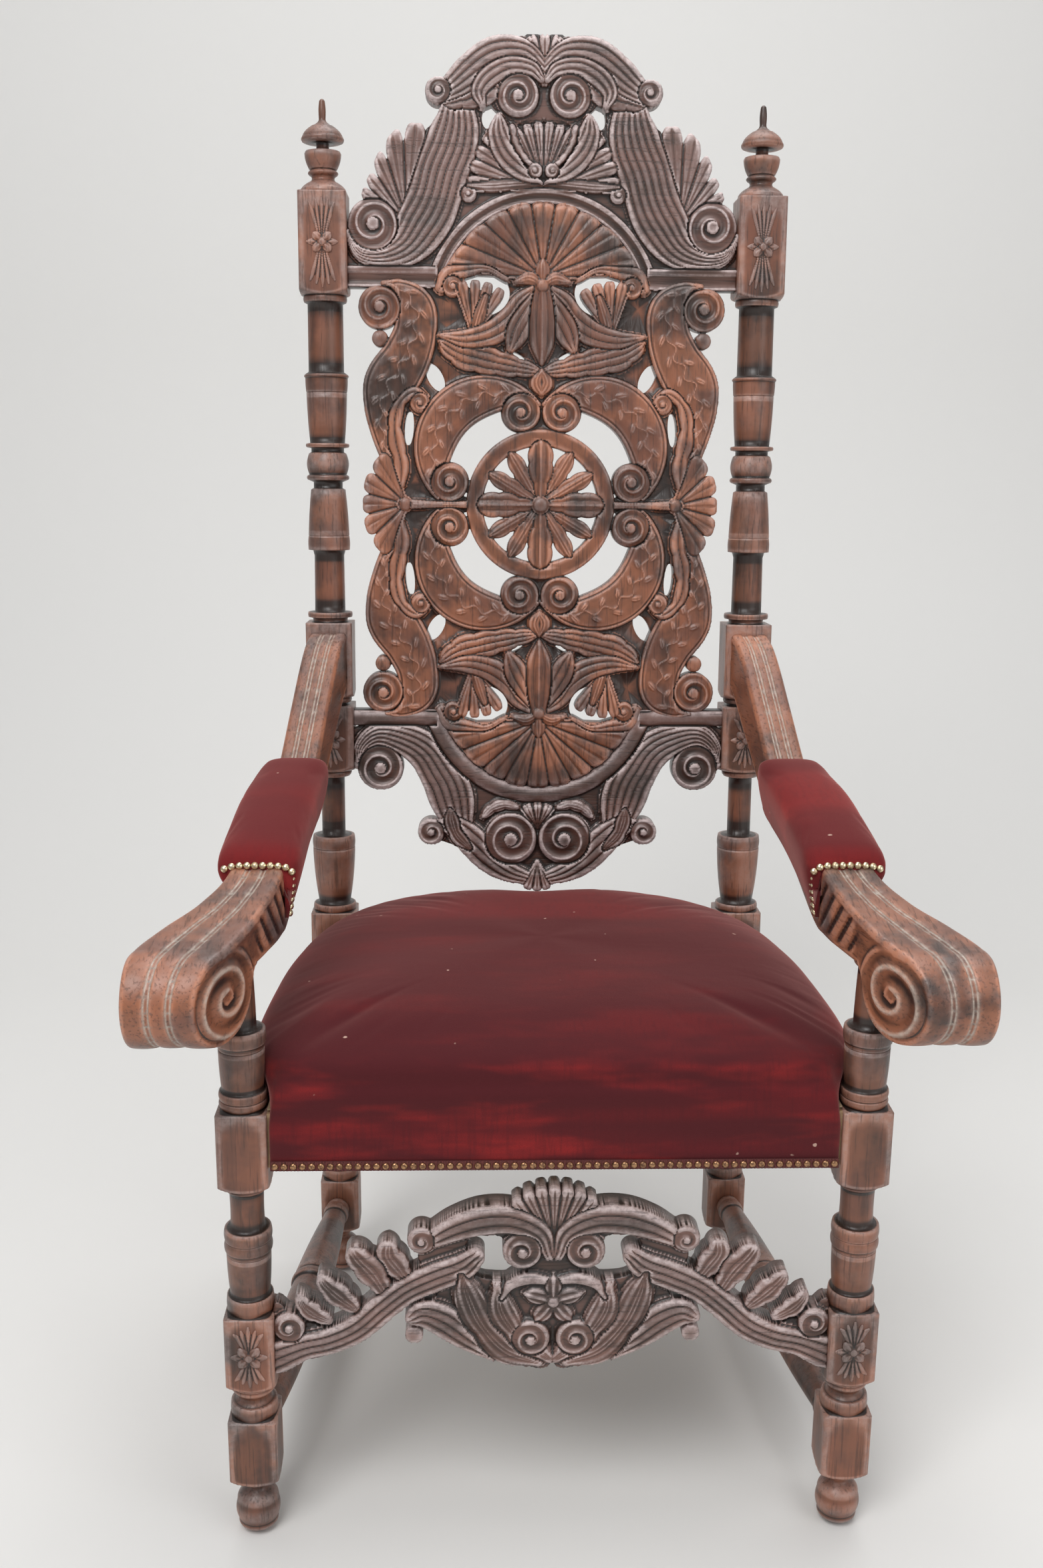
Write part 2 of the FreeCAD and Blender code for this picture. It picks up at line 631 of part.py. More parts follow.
def crest_carving():
    crown = S.arch_radius + S.crest_arch_width - S.arch_drop
    crown_share = 0.40
    carving = Carving(HALF_OPENING, S.crest_height, S.arch_radius, crown, crown_share)
    half, height = carving.half, carving.height
    inner, width = S.arch_radius.mm, S.crest_arch_width.mm
    centre = Vector(0, -S.arch_drop.mm, 0)
    above = slab(-half, half, 0, height, EYE)
    arch = arch_band(centre, inner, width, SCROLL).common(above)
    rails = slab(-half, half, 0, S.crest_rail_height.mm, LEAF)
    fluted_band_shares = [
        (0.99, 0.27), (0.98, 0.18), (0.907, 0.115), (0.784, 0.08), (0.662, 0.11), (0.554, 0.205),
        (0.475, 0.328), (0.402, 0.448), (0.333, 0.592), (0.304, 0.672), (0.314, 0.76),
        (0.441, 0.768), (0.51, 0.712), (0.475, 0.66), (0.549, 0.60), (0.608, 0.512),
        (0.672, 0.392), (0.745, 0.288), (0.868, 0.26),
    ]
    behind_band_shares = [
        (0.50, 0.04), (0.74, 0.08), (0.62, 0.26), (0.46, 0.42), (0.38, 0.36), (0.32, 0.285),
        (0.436, 0.208),
    ]
    outer_leaf_shares = [
        (0.912, 0.336), (0.902, 0.388), (0.858, 0.396), (0.848, 0.452), (0.819, 0.472),
        (0.814, 0.556), (0.765, 0.56), (0.711, 0.652), (0.657, 0.60), (0.60, 0.55), (0.66, 0.40),
        (0.78, 0.28),
    ]
    top_scroll_shares = [
        (-0.02, 1), (0.147, 0.996), (0.255, 0.972), (0.343, 0.944), (0.417, 0.888),
        (0.48, 0.836), (0.549, 0.824), (0.578, 0.76), (0.51, 0.72), (0.431, 0.704),
        (0.353, 0.736), (0.304, 0.768), (0.235, 0.824), (0.098, 0.85), (-0.02, 0.80),
    ]
    cup_shares = [
        (-0.02, 0.41), (0.098, 0.43), (0.176, 0.50), (0.221, 0.58), (0.25, 0.655), (0.18, 0.65),
        (0.10, 0.70), (-0.02, 0.73),
    ]
    low_leaf_shares = [
        (-0.02, 0.37), (0.22, 0.35), (0.367, 0.42), (0.30, 0.45), (0.34, 0.48), (0.304, 0.52),
        (0.25, 0.53), (0.15, 0.45), (-0.02, 0.45),
    ]
    carving.member(fluted_band_shares, SCROLL)
    carving.member(behind_band_shares, GROUND)
    carving.member(outer_leaf_shares, LEAF)
    carving.member(top_scroll_shares, SCROLL)
    carving.member(cup_shares, SCROLL)
    carving.member(low_leaf_shares, LEAF)
    carving.disc((0.868, 0.252), 0.122, SCROLL)
    carving.disc((0.132, 0.76), 0.103, SCROLL)
    carving.disc((0.529, 0.776), 0.064, SCROLL)
    carving.disc((0.377, 0.368), 0.036, SCROLL)
    return carving.whole([arch, rails]).cut(Part.makeCylinder(inner, EYE, centre))


def lower_rail_carving():
    crown = S.arch_radius + S.lower_arch_width - S.arch_drop
    crown_share = 0.515
    carving = Carving(HALF_OPENING, S.lower_rail_height, S.arch_radius, crown, crown_share)
    half, height = carving.half, carving.height
    inner, width = S.arch_radius.mm, S.lower_arch_width.mm
    centre = Vector(0, S.arch_drop.mm, 0)
    below = slab(-half, half, -height, 0, EYE)
    arch = arch_band(centre, inner, width, SCROLL).common(below)
    moulding = slab(-half, half, -S.lower_rail_moulding.mm, 0, SCROLL)
    side_scroll_shares = [
        (0.99, -0.32), (0.985, -0.243), (0.93, -0.14), (0.81, -0.08), (0.676, -0.10),
        (0.52, -0.218), (0.43, -0.34), (0.33, -0.46), (0.353, -0.544), (0.417, -0.60),
        (0.51, -0.583), (0.549, -0.524), (0.637, -0.46), (0.711, -0.379), (0.76, -0.31),
        (0.868, -0.30),
    ]
    low_leaf_shares = [
        (0.60, -0.70), (0.54, -0.767), (0.431, -0.85), (0.27, -0.913), (0.152, -0.942),
        (0.05, -0.92), (0.10, -0.82), (0.22, -0.80), (0.304, -0.728), (0.343, -0.631),
        (0.431, -0.57), (0.515, -0.59),
    ]
    tail_shares = [
        (-0.02, -0.78), (0.04, -0.80), (0.045, -0.90), (0.09, -0.98), (0.07, -1), (-0.02, -1),
    ]
    knot_shares = [(-0.02, -0.47), (0.09, -0.47), (0.09, -0.62), (-0.02, -0.66)]
    carving.member(side_scroll_shares, SCROLL)
    carving.member(low_leaf_shares, SCROLL)
    carving.member(tail_shares, LEAF)
    carving.member(knot_shares, LEAF)
    carving.disc((0.868, -0.311), 0.122, SCROLL)
    carving.disc((0.152, -0.709), 0.142, SCROLL)
    carving.disc((0.583, -0.665), 0.078, SCROLL)
    carving.disc((0.098, -0.534), 0.04, SCROLL)
    return carving.whole([arch, moulding]).cut(Part.makeCylinder(inner, EYE, centre))


def panel_carving():
    carving = Carving(HALF_OPENING, PANEL_REACH)
    half, reach = carving.half, carving.height
    gap = S.joint_clearance.mm
    arch_radius = S.arch_radius.mm - gap
    arch_centre = Vector(0, reach - S.arch_radius.mm, 0)
    straight = ((CREST_UP - LOWER_RAIL_UP) / 2).mm - gap
    arch = Part.makeCylinder(arch_radius, EYE, arch_centre)
    shell_shares = [
        (-0.02, 0.72), (0.10, 0.725), (0.15, 0.76), (0.245, 0.785), (0.343, 0.785),
        (0.417, 0.765), (0.45, 0.74), (0.56, 0.73), (0.60, 1.05), (-0.02, 1.05),
    ]
    bell_shares = [
        (-0.02, 0.735), (0.069, 0.727), (0.108, 0.662), (0.147, 0.614), (0.221, 0.575),
        (0.368, 0.549), (0.52, 0.562), (0.49, 0.53), (0.353, 0.507), (0.216, 0.523),
        (0.137, 0.543), (0.069, 0.51), (0.034, 0.472), (-0.02, 0.46),
    ]
    eye_leaf_shares = [
        (0.294, 0.517), (0.255, 0.614), (0.22, 0.662), (0.27, 0.685), (0.304, 0.717),
        (0.343, 0.695), (0.392, 0.698), (0.412, 0.646), (0.392, 0.58), (0.417, 0.533),
    ]
    skirt_shares = [
        (-0.02, 0.44), (0.06, 0.45), (0.14, 0.485), (0.216, 0.517), (0.49, 0.536), (0.55, 0.49),
        (0.52, 0.446), (0.466, 0.404), (0.392, 0.37), (0.15, 0.36), (-0.02, 0.37),
    ]
    shell_web_shares = [(0.46, 0.53), (0.58, 0.49), (0.62, 0.70), (0.49, 0.735), (0.49, 0.66)]
    corner_scroll_shares = [
        (0.66, 0.735), (0.735, 0.735), (0.84, 0.733), (0.95, 0.66), (0.84, 0.585),
        (0.784, 0.556), (0.858, 0.485), (0.94, 0.436), (0.931, 0.355), (0.917, 0.317),
        (0.882, 0.242), (0.833, 0.178), (0.78, 0.12), (0.70, 0.13), (0.711, 0.194),
        (0.725, 0.275), (0.686, 0.323), (0.62, 0.35), (0.588, 0.388), (0.559, 0.485),
        (0.554, 0.646), (0.58, 0.71),
    ]
    side_web_shares = [(0.60, 0.10), (0.745, 0.02), (0.78, 0.168), (0.63, 0.18)]
    stem_shares = [(0.38, -0.02), (0.75, -0.02), (0.75, 0.02), (0.38, 0.02)]

    carving.member(shell_shares, GROUND)
    carving.members[-1] = carving.members[-1].common(arch)
    petal_root_share = (0, 0.775)
    petal_reach = arch_radius - S.leaf_relief.mm
    for turn_degrees, width_share in ((0, 0.12), (21, 0.12), (42, 0.12), (63, 0.10)):
        turned = math.radians(turn_degrees)
        tip_share = (
            petal_reach * math.sin(turned) / half,
            (arch_centre.y + petal_reach * math.cos(turned)) / reach,
        )
        carving.petal(petal_root_share, tip_share, width_share, LEAF)
    carving.member(bell_shares, SCROLL)
    carving.member(eye_leaf_shares, LEAF)
    carving.member(skirt_shares, LEAF)
    carving.member(shell_web_shares, GROUND)
    carving.member(corner_scroll_shares, SCROLL)
    carving.member(side_web_shares, GROUND)
    carving.member(stem_shares, GROUND)
    carving.disc((0.461, 0.727), 0.054, SCROLL)
    carving.disc((0.838, 0.655), 0.108, SCROLL)
    carving.disc((0.833, 0.556), 0.04, SCROLL)
    carving.disc((0.578, 0.349), 0.056, SCROLL)
    carving.disc((0, 0.733), 0.066, LEAF)
    carving.disc((0, 0.733), 0.03, EYE)

    ring_scroll = Part.makeCylinder(0.353 * half, SCROLL, carving.at((0.304, 0.178)))
    carving.members.append(ring_scroll.cut(Part.makeCylinder(0.5245 * half, SCROLL)))
    carving.disc((0.1225, 0.323), 0.093, SCROLL)
    carving.disc((0.5, 0.087), 0.108, SCROLL)
    palmette_tip_shares = [(0.897, 0.184), (0.941, 0.107), (0.946, 0)]
    for tip_share in palmette_tip_shares:
        carving.petal((0.66, 0), tip_share, 0.11, LEAF)
    carving.disc((0.716, 0), 0.078, LEAF)

    ring = S.ring_radius.mm
    hole = ring - S.ring_width.mm
    plain = [arch_band(Vector(), hole, S.ring_width.mm, SCROLL)]
    rosette = Carving(S.ring_radius - S.ring_width, S.ring_radius - S.ring_width)
    for turn_degrees, tip, width_share in ((0, 1.02, 0.42), (30, 0.92, 0.30), (60, 0.92, 0.30),
                                           (90, 1.02, 0.42)):
        turned = math.radians(turn_degrees)
        rosette.petal((0, 0), (tip * math.sin(turned), tip * math.cos(turned)), width_share, LEAF)
    rosette.disc((0, 0), 0.34, LEAF)
    rosette.disc((0, 0), 0.11, EYE)
    carving.members += rosette.members
    whole = carving.whole(plain, up_and_down=True)
    allowed = slab(-half, half, -straight, straight, EYE)
    arches = [arch, arch.mirror(Vector(), Vector(0, 1, 0))]
    return whole.common(allowed.multiFuse(arches))


def stretcher_carving():
    carving = Carving(LEG_INNER_X, S.stretcher_height)
    palmette_shares = [
        (-0.02, 1), (0.10, 1), (0.20, 0.972), (0.274, 0.932), (0.302, 0.85), (0.16, 0.75),
        (-0.02, 0.70),
    ]
    upper_scroll_shares = [
        (0.09, 0.56), (0.03, 0.70), (0.07, 0.83), (0.17, 0.865), (0.28, 0.845), (0.39, 0.785),
        (0.475, 0.77), (0.50, 0.70), (0.45, 0.62), (0.37, 0.64), (0.28, 0.70), (0.21, 0.69),
        (0.17, 0.60),
    ]
    side_arm_shares = [
        (1, 0.35), (0.94, 0.30), (0.87, 0.235), (0.79, 0.235), (0.69, 0.34), (0.605, 0.43),
        (0.49, 0.555), (0.42, 0.66), (0.34, 0.66), (0.32, 0.52), (0.40, 0.45), (0.50, 0.345),
        (0.605, 0.21), (0.70, 0.10), (0.79, 0.045), (0.90, 0.05), (0.96, 0), (1, -0.04),
    ]
    side_leaf_shares = [
        (0.90, 0.30), (0.84, 0.45), (0.80, 0.42), (0.77, 0.60), (0.71, 0.655), (0.67, 0.60),
        (0.62, 0.66), (0.57, 0.69), (0.50, 0.64), (0.47, 0.56), (0.60, 0.36), (0.70, 0.25),
        (0.82, 0.20),
    ]
    cup_shares = [
        (-0.02, 0), (0.08, 0), (0.22, 0.05), (0.31, 0.22), (0.37, 0.45), (0.35, 0.58),
        (0.27, 0.53), (0.17, 0.52), (0.10, 0.60), (-0.02, 0.75),
    ]
    low_leaf_shares = [
        (0.24, 0.40), (0.34, 0.46), (0.435, 0.37), (0.51, 0.20), (0.47, 0.155), (0.38, 0.23),
        (0.30, 0.13), (0.22, 0.05),
    ]
    carving.member(palmette_shares, LEAF)
    carving.member(upper_scroll_shares, SCROLL)
    carving.member(side_arm_shares, SCROLL)
    carving.member(side_leaf_shares, LEAF)
    carving.member(cup_shares, GROUND)
    carving.member(low_leaf_shares, LEAF)
    carving.disc((0.113, 0.644), 0.065, SCROLL)
    carving.disc((0.472, 0.706), 0.048, SCROLL)
    carving.disc((0.945, 0.226), 0.05, SCROLL)
    carving.disc((0.081, 0.153), 0.069, SCROLL)
    carving.disc((0.495, 0.175), 0.034, SCROLL)
    carving.disc((0, 0.36), 0.05, SCROLL)
    for tip_share in ((0, 0.56), (0.10, 0.46), (0.10, 0.28)):
        carving.petal((0, 0.36), tip_share, 0.05, LEAF)
    return carving.whole([])


# The arm is sawn to a side profile and a plan. Along it, 0 is the front leg and 1 the rear post
ARM_FACE_Y = POST_Y - POST_HALF * COS_RAKE
ARM_RUN = (ARM_FACE_Y + ARM_END_UP * SIN_RAKE) - LEG_Y
ARM_RISE = (BEND_Z + ARM_END_UP * COS_RAKE) - ARM_SEAT_Z
ARM_FRONT_X = S.arm_spread - S.arm_width / 2
arm_top_shares = [
    (-0.135, 0.147), (-0.05, 0.180), (0.046, 0.217), (0.186, 0.281), (0.464, 0.387),
    (0.62, 0.425), (0.70, 0.475), (0.812, 0.691), (0.893, 0.857), (1, 1),
]
arm_under_shares = [(0.22, 0), (0.464, 0.134), (0.66, 0.22), (0.76, 0.33), (0.87, 0.52)]
arm_plan_shares = [
    (1, 0, 0), (0.71, 0.24, 0.1), (0.464, 0.35, 0.9), (0.174, 0.40, 1), (0.046, 0.58, 1.15),
    (-0.05, 0.82, 1.45), (-0.14, 1, 1.7), (-0.24, 1, 1.7),
]


def arm_point(share):
    """A point of the side profile, in the YZ plane."""
    along, up = share
    return Vector(0, (LEG_Y + ARM_RUN * along).mm, (ARM_SEAT_Z + ARM_RISE * up).mm)


def arm_width_at(share):
    """The middle and the half width of the arm's plan at one of its places."""
    along, spread, fullness = share
    middle = POST_X + (ARM_FRONT_X - POST_X) * spread
    if fullness <= 1:
        width = S.arm_tail_width + (S.arm_waist - S.arm_tail_width) * fullness
    else:
        width = S.arm_waist + (S.arm_width - S.arm_waist) * ((fullness - 1) / 0.7)
    return middle.mm, width.mm / 2, (LEG_Y + ARM_RUN * along).mm


def through(points):
    """A smooth edge through points."""
    curve = Part.BSplineCurve()
    curve.interpolate(points)
    return curve.toShape()


def arm_profile():
    """The side profile as a face, and the axis of its rolled end."""
    top = [arm_point(share) for share in arm_top_shares]
    under = [arm_point(share) for share in arm_under_shares]
    end_fall = S.arm_end_thickness
    heel = Vector(0, (LEG_Y + ARM_RUN - end_fall * SIN_RAKE).mm,
                  (ARM_SEAT_Z + ARM_RISE - end_fall * COS_RAKE).mm)
    roll = Vector(0, (LEG_Y - S.arm_overhang).mm, (ARM_SEAT_Z - S.arm_drop).mm)
    edges = [
        through(top),
        Part.makeLine(top[-1], heel),
        through([heel] + under[::-1]),
        Part.makeLine(under[0], Vector(0, roll.y, under[0].z)),
        Part.makeLine(Vector(0, roll.y, under[0].z), top[0]),
    ]
    return Part.Face(Part.Wire(edges)), roll


def arm_plan(grow):
    """Everything above and below the arm's plan, which is widened by a gap."""
    plan = [arm_width_at(share) for share in arm_plan_shares]
    inner_edge = [Vector(-middle + half + grow, y, 0) for middle, half, y in plan]
    outer_edge = [Vector(-middle - half - grow, y, 0) for middle, half, y in plan]
    return prism(inner_edge + outer_edge[::-1], (ARM_SEAT_Z + ARM_RISE * 2).mm)


def arm_solid():
    profile, roll = arm_profile()
    outer = S.arm_spread.mm
    body = profile.extrude(Vector(-outer, 0, 0))
    rolled = Part.makeCylinder(S.arm_roll_radius.mm, outer, roll, Vector(-1, 0, 0))
    return body.fuse(rolled).common(arm_plan(0)).removeSplitter()


def top_height(y):
    """Height of the arm's top at a place along it, read from its own smooth edge."""
    edge = through([arm_point(share) for share in arm_top_shares])
    line = Part.makeLine(Vector(0, y, 0), Vector(0, y, (ARM_SEAT_Z + ARM_RISE * 2).mm))
    return edge.distToShape(line)[1][0][0].z


def wood_under_pad(gap):
    """The arm's wood with a gap over it, as a run of short flat stretches."""
    steps = 12
    overrun = S.pad_overhang.mm
    start, end = (LEG_Y + S.pad_front).mm - overrun, (LEG_Y + S.pad_front + S.pad_length).mm + overrun
    stations = [start + (end - start) * step / steps for step in range(steps + 1)]
    top = [Vector(0, y, top_height(y) + gap) for y in stations]
    side = top + [Vector(0, end, 0), Vector(0, start, 0)]
    face = Part.Face(Part.makePolygon(side + side[:1]))
    return face.extrude(Vector(-S.arm_spread.mm, 0, 0)).common(arm_plan(gap))


def stuffed(sections):
    """A solid through closed sections of straight lines. Lines that follow each other from one
    section to the next are parallel, so a flat face lies between them."""
    faces = [Part.Face(Part.makePolygon(points + points[:1])) for points in (sections[0], sections[-1])]
    for below, above in zip(sections, sections[1:]):
        sides = zip(below, below[1:] + below[:1], above[1:] + above[:1], above)
        faces += [Part.Face(Part.makePolygon([*side, side[0]])) for side in sides]
    shell = Part.makeShell(faces)
    shell.sewShape()
    solid = Part.makeSolid(shell)
    return solid if solid.Volume > 0 else solid.reversed()


pad_station_shares = [(0, 0), (0.06, 0.8), (0.25, 1), (0.5, 1), (0.75, 1), (0.94, 0.8), (1, 0)]
pad_crown_shares = [(0, 0), (0.3, 0.55), (0.85, 0.87), (1.7, 1)]


def arm_pad():
    """A crowned pad through sections along the arm, before it is hollowed to sit over the wood."""
    plan = [arm_width_at(share) for share in arm_plan_shares]
    overhang, thickness = S.pad_overhang.mm, S.pad_thickness.mm
    roll = thickness / 2
    sections = []
    for along, fullness in pad_station_shares:
        y = (LEG_Y + S.pad_front + S.pad_length * along).mm
        middle, half = plan_at(plan, y)
        half += overhang - roll * (1 - fullness)
        wood_top = top_height(y)
        edge = wood_top - roll * (1 - fullness)
        slope = [(half - inward * overhang, edge + rise * thickness)
                 for inward, rise in pad_crown_shares]
        slope.insert(0, (half, wood_top - S.pad_drop.mm))
        right = [Vector(out - middle, y, z) for out, z in slope]
        left = [Vector(-out - middle, y, z) for out, z in reversed(slope)]
        sections.append(right + left)
    return stuffed(sections)


def plan_at(plan, y):
    """Middle and half width of the arm at y, in line between its plan's places."""
    for (a_middle, a_half, a_y), (b_middle, b_half, b_y) in zip(plan, plan[1:]):
        if b_y <= y <= a_y:
            part = (a_y - y) / (a_y - b_y)
            return a_middle + (b_middle - a_middle) * part, a_half + (b_half - a_half) * part
    return plan[0][:2]


# The stuffed seat follows the outside of the rails, by a distance that grows outwards
def rail_outline(grow, z):
    """Corners of the seat frame's plan, moved out by a distance."""
    front = FRONT_RAIL_Y - grow
    rear = REAR_RAIL_Y + S.rail_thickness + grow
    front_x = side_rail_x(front) + S.rail_thickness / 2 + grow
    rear_x = side_rail_x(rear) + S.rail_thickness / 2 + grow
    corners = [(-front_x, front), (front_x, front), (rear_x, rear), (-rear_x, rear)]
    return [Vector(x.mm, y.mm, z.mm) for x, y in corners]


def frame_prism(grow, base, height):
    return prism(rail_outline(grow, base), height.mm)


def notches():
    """Spaces of the leg and post blocks in whatever covers the seat frame, open outwards."""
    gap = S.cover_gap
    tall = ARM_SEAT_Z.mm
    spaces = []
    for side in (-1, 1):
        for inner, y_from, depth in (
            (LEG_INNER_X - gap, LEG_Y - S.leg_block, S.leg_block + LEG_HALF + gap),
            (HALF_OPENING - gap, POST_Y - POST_HALF - gap, S.post_block * 2),
        ):
            left = inner.mm if side > 0 else -inner.mm - LEG_X.mm
            spaces.append(Part.makeBox(LEG_X.mm, depth.mm, tall, Vector(left, y_from.mm, 0)))
    return spaces


ROUND_SHARE, DRAW_SHARE = 0.06, 0.006


def seat_section(inset, z):
    """A closed line round the seat with rounded corners, drawn in a little between them, and
    shrunk towards its middle by an inset."""
    corners = rail_outline(S.cover_gap + S.cover_thickness, z)
    middle = (corners[0] + corners[2]) * 0.5
    middle.x = 0
    points = []
    for index, corner in enumerate(corners):
        before, after = corners[index - 1], corners[(index + 1) % len(corners)]
        inward = Vector(0, 0, 1).cross(after - corner) * DRAW_SHARE
        points += [
            corner + (before - corner) * ROUND_SHARE,
            corner + (after - corner) * ROUND_SHARE,
            (corner + after) * 0.5 + inward,
        ]
    scale = 1 - inset.mm / (middle.y - corners[0].y)
    return [middle + (point - middle) * scale for point in points]


crown_shares = [(0.16, 0.45), (0.36, 0.80), (0.66, 1)]


def seat_solid():
    roll_top = SEAT_TOP_Z + S.seat_roll
    edge, half_depth = S.seat_edge_inset, S.leg_depth / 2
    levels = [(ZERO, RAIL_Z), (-edge / 4, SEAT_TOP_Z + S.seat_roll / 2),
              (edge / 4, roll_top - edge), (edge, roll_top)]
    levels += [(half_depth * inward, roll_top + S.seat_crown * rise) for inward, rise in crown_shares]
    cushion = stuffed([seat_section(*level) for level in levels])
    under = S.rail_height + S.strap_thickness * 2 + S.cloth_thickness + S.cover_gap
    hollow = frame_prism(S.cover_gap, RAIL_Z, under)
    return cushion.cut([hollow] + notches())


def braid_solid():
    outside = frame_prism(S.cover_gap + S.cover_thickness + S.braid_thickness, RAIL_Z,
                          S.braid_height)
    inside = frame_prism(S.cover_gap + S.cover_thickness, RAIL_Z, S.braid_height)
    return outside.cut([inside] + notches())


def cloth_solid():
    base = SEAT_TOP_Z + S.strap_thickness * 2
    return frame_prism(-S.strap_thickness, base, S.cloth_thickness).cut(notches())


def webbing_solid():
    """Straps from front to back, then straps across, nailed to the tops of the rails."""
    thickness, width = S.strap_thickness.mm, S.strap_width.mm
    low = SEAT_TOP_Z.mm
    front, rear = FRONT_RAIL_Y.mm, (REAR_RAIL_Y + S.rail_thickness).mm
    opening = HALF_OPENING.mm * 2
    gap_share = 0.25
    straps = []
    for step in range(-1, 3):
        x = opening * gap_share * (step - 0.5)
        straps.append(Part.makeBox(width, rear - front, thickness,
                                   Vector(x - width / 2, front, low)))
    depth = SIDE_RAIL_REAR_Y.mm - SIDE_RAIL_FRONT_Y.mm
    for step in range(4):
        y = SIDE_RAIL_FRONT_Y.mm + depth * (step + 0.5) / 4
        reach = (side_rail_x(Size(y + width / 2)) + S.rail_thickness / 2).mm
        straps.append(Part.makeBox(reach * 2, width, thickness,
                                   Vector(-reach, y - width / 2, low + thickness)))
    return Part.makeCompound(straps)


def corner_blocks_solid():
    side = S.corner_block_side.mm
    low, high = RAIL_Z.mm, (SEAT_TOP_Z - S.corner_block_drop).mm
    front = (FRONT_RAIL_Y + S.rail_thickness).mm
    rear = REAR_RAIL_Y.mm - side
    blocks = []
    for inner, y in ((LEG_INNER_X.mm, front), (HALF_OPENING.mm, rear)):
        for left in (-inner, inner - side):
            blocks.append(Part.makeBox(side, side, high - low, Vector(left, y, low)))
    return Part.makeCompound(blocks)


def feature(label, shape):
    """A sub-part whose shape is worked out from the sheet."""
    made = doc.addObject("Part::Feature", label)
    made.Shape = shape
    return made


# The turned posts and legs with their mortises and sockets
post_spaces = [
    mortise("rear_rail_mortise", *REAR_TENON),
    mortise("side_rail_rear_mortise", *SIDE_REAR_TENON),
    mortise("crest_mortise", *CREST_TENON, raked=True),
    mortise("lower_rail_mortise", *LOWER_TENON, raked=True),
    mortise("arm_mortise", *ARM_TENON, raked=True),
    socket("finial_socket", FINIAL_UP, raked=True),
    side_stretcher("stretcher_rear_socket", S.joint_clearance),
    rear_stretcher("rear_stretcher_socket", S.joint_clearance),
]
left_post = piece(cut("rear_post_left", rear_post(), post_spaces), "rear_post_left")
mirrored(left_post, "rear_post_right")

left_finial = finial()
right_finial = doc.addObject("Part::Mirroring", "finial_right")
right_finial.Source = left_finial
right_finial.Normal = Vector(1, 0, 0)
finials = doc.addObject("Part::Compound", "finials")
finials.Links = [left_finial, right_finial]
piece(finials, "finials")

leg_spaces = [
    mortise("front_rail_mortise", *FRONT_TENON),
    mortise("side_rail_front_mortise", *SIDE_FRONT_TENON),
    mortise("front_stretcher_mortise", *STRETCHER_TENON),
    side_stretcher("stretcher_front_socket", S.joint_clearance),
]
left_leg = piece(cut("front_leg_left", front_leg(), leg_spaces), "front_leg_left")
mirrored(left_leg, "front_leg_right")

# The carved back
crest = board("crest_board", crest_carving(), CREST_UP, S.rake)
crest_rail = join("crest_whole", [crest] + both_tenons("crest", CREST_TENON, raked=True))
lower_board = board("lower_rail_board", lower_rail_carving(), LOWER_RAIL_UP, S.rake)
lower_rail = join("lower_rail_whole",
                  [lower_board] + both_tenons("lower_rail", LOWER_TENON, raked=True))
panel_board = board("panel_board", panel_carving(), PANEL_UP, S.rake)
TONGUE_UP = PANEL_UP + PANEL_REACH - S.tongue_depth
FOOT_TONGUE_UP = PANEL_UP - PANEL_REACH - S.tongue_depth
tongue_sides = (S.tongue_width, S.tongue_thickness, S.tongue_depth * 2)
tongues = {
    "crest": (-S.tongue_width / 2, -S.tongue_thickness / 2, TONGUE_UP),
    "lower_rail": (-S.tongue_width / 2, -S.tongue_thickness / 2, FOOT_TONGUE_UP),
}
tongue_pieces = [raked_box(f"tongue_in_{name}", corner, tongue_sides)
                 for name, corner in tongues.items()]
piece(join("panel_whole", [panel_board] + tongue_pieces), "back_panel")
for name, whole, label in (("crest", crest_rail, "crest_rail"),
                           ("lower_rail", lower_rail, "lower_back_rail")):
    groove = mortise(f"{name}_groove", tongues[name], tongue_sides, raked=True)
    piece(cut(label, whole, [groove]), label)

# Arms and their pads
arm_wood = feature("arm_wood", arm_solid())
arm_joined = join("arm_joined", [arm_wood, raked_box("arm_tenon", *ARM_TENON)])
left_arm = piece(cut("arm_left", arm_joined, [socket("arm_socket", ARM_SEAT_Z, raked=False)]),
                 "arm_left")
mirrored(left_arm, "arm_right")
pad = feature("pad_left", arm_pad().cut(wood_under_pad(S.cover_gap.mm)))
mirrored(piece(pad, "arm_pad_left"), "arm_pad_right")

# Stretchers
stretcher_board = board("stretcher_board", stretcher_carving(), S.stretcher_base, ZERO)
piece(join("stretcher_whole", [stretcher_board] + both_tenons("stretcher", STRETCHER_TENON, False)),
      "front_stretcher")
left_stretcher = piece(side_stretcher("side_stretcher"), "side_stretcher_left")
mirrored(left_stretcher, "side_stretcher_right")
piece(rear_stretcher("rear_turned_stretcher"), "rear_stretcher")

# The seat frame
front_rail = box("front_rail_bar", (-LEG_INNER_X, FRONT_RAIL_Y, RAIL_Z),
                 (LEG_INNER_X * 2, S.rail_thickness, S.rail_height))
piece(join("front_rail_whole", [front_rail] + both_tenons("front_rail", FRONT_TENON, False)),
      "front_seat_rail")
rear_rail = box("rear_rail_bar", (-HALF_OPENING, REAR_RAIL_Y, RAIL_Z),
                (HALF_OPENING * 2, S.rail_thickness, S.rail_height))
piece(join("rear_rail_whole", [rear_rail] + both_tenons("rear_rail", REAR_TENON, False)),
      "rear_seat_rail")

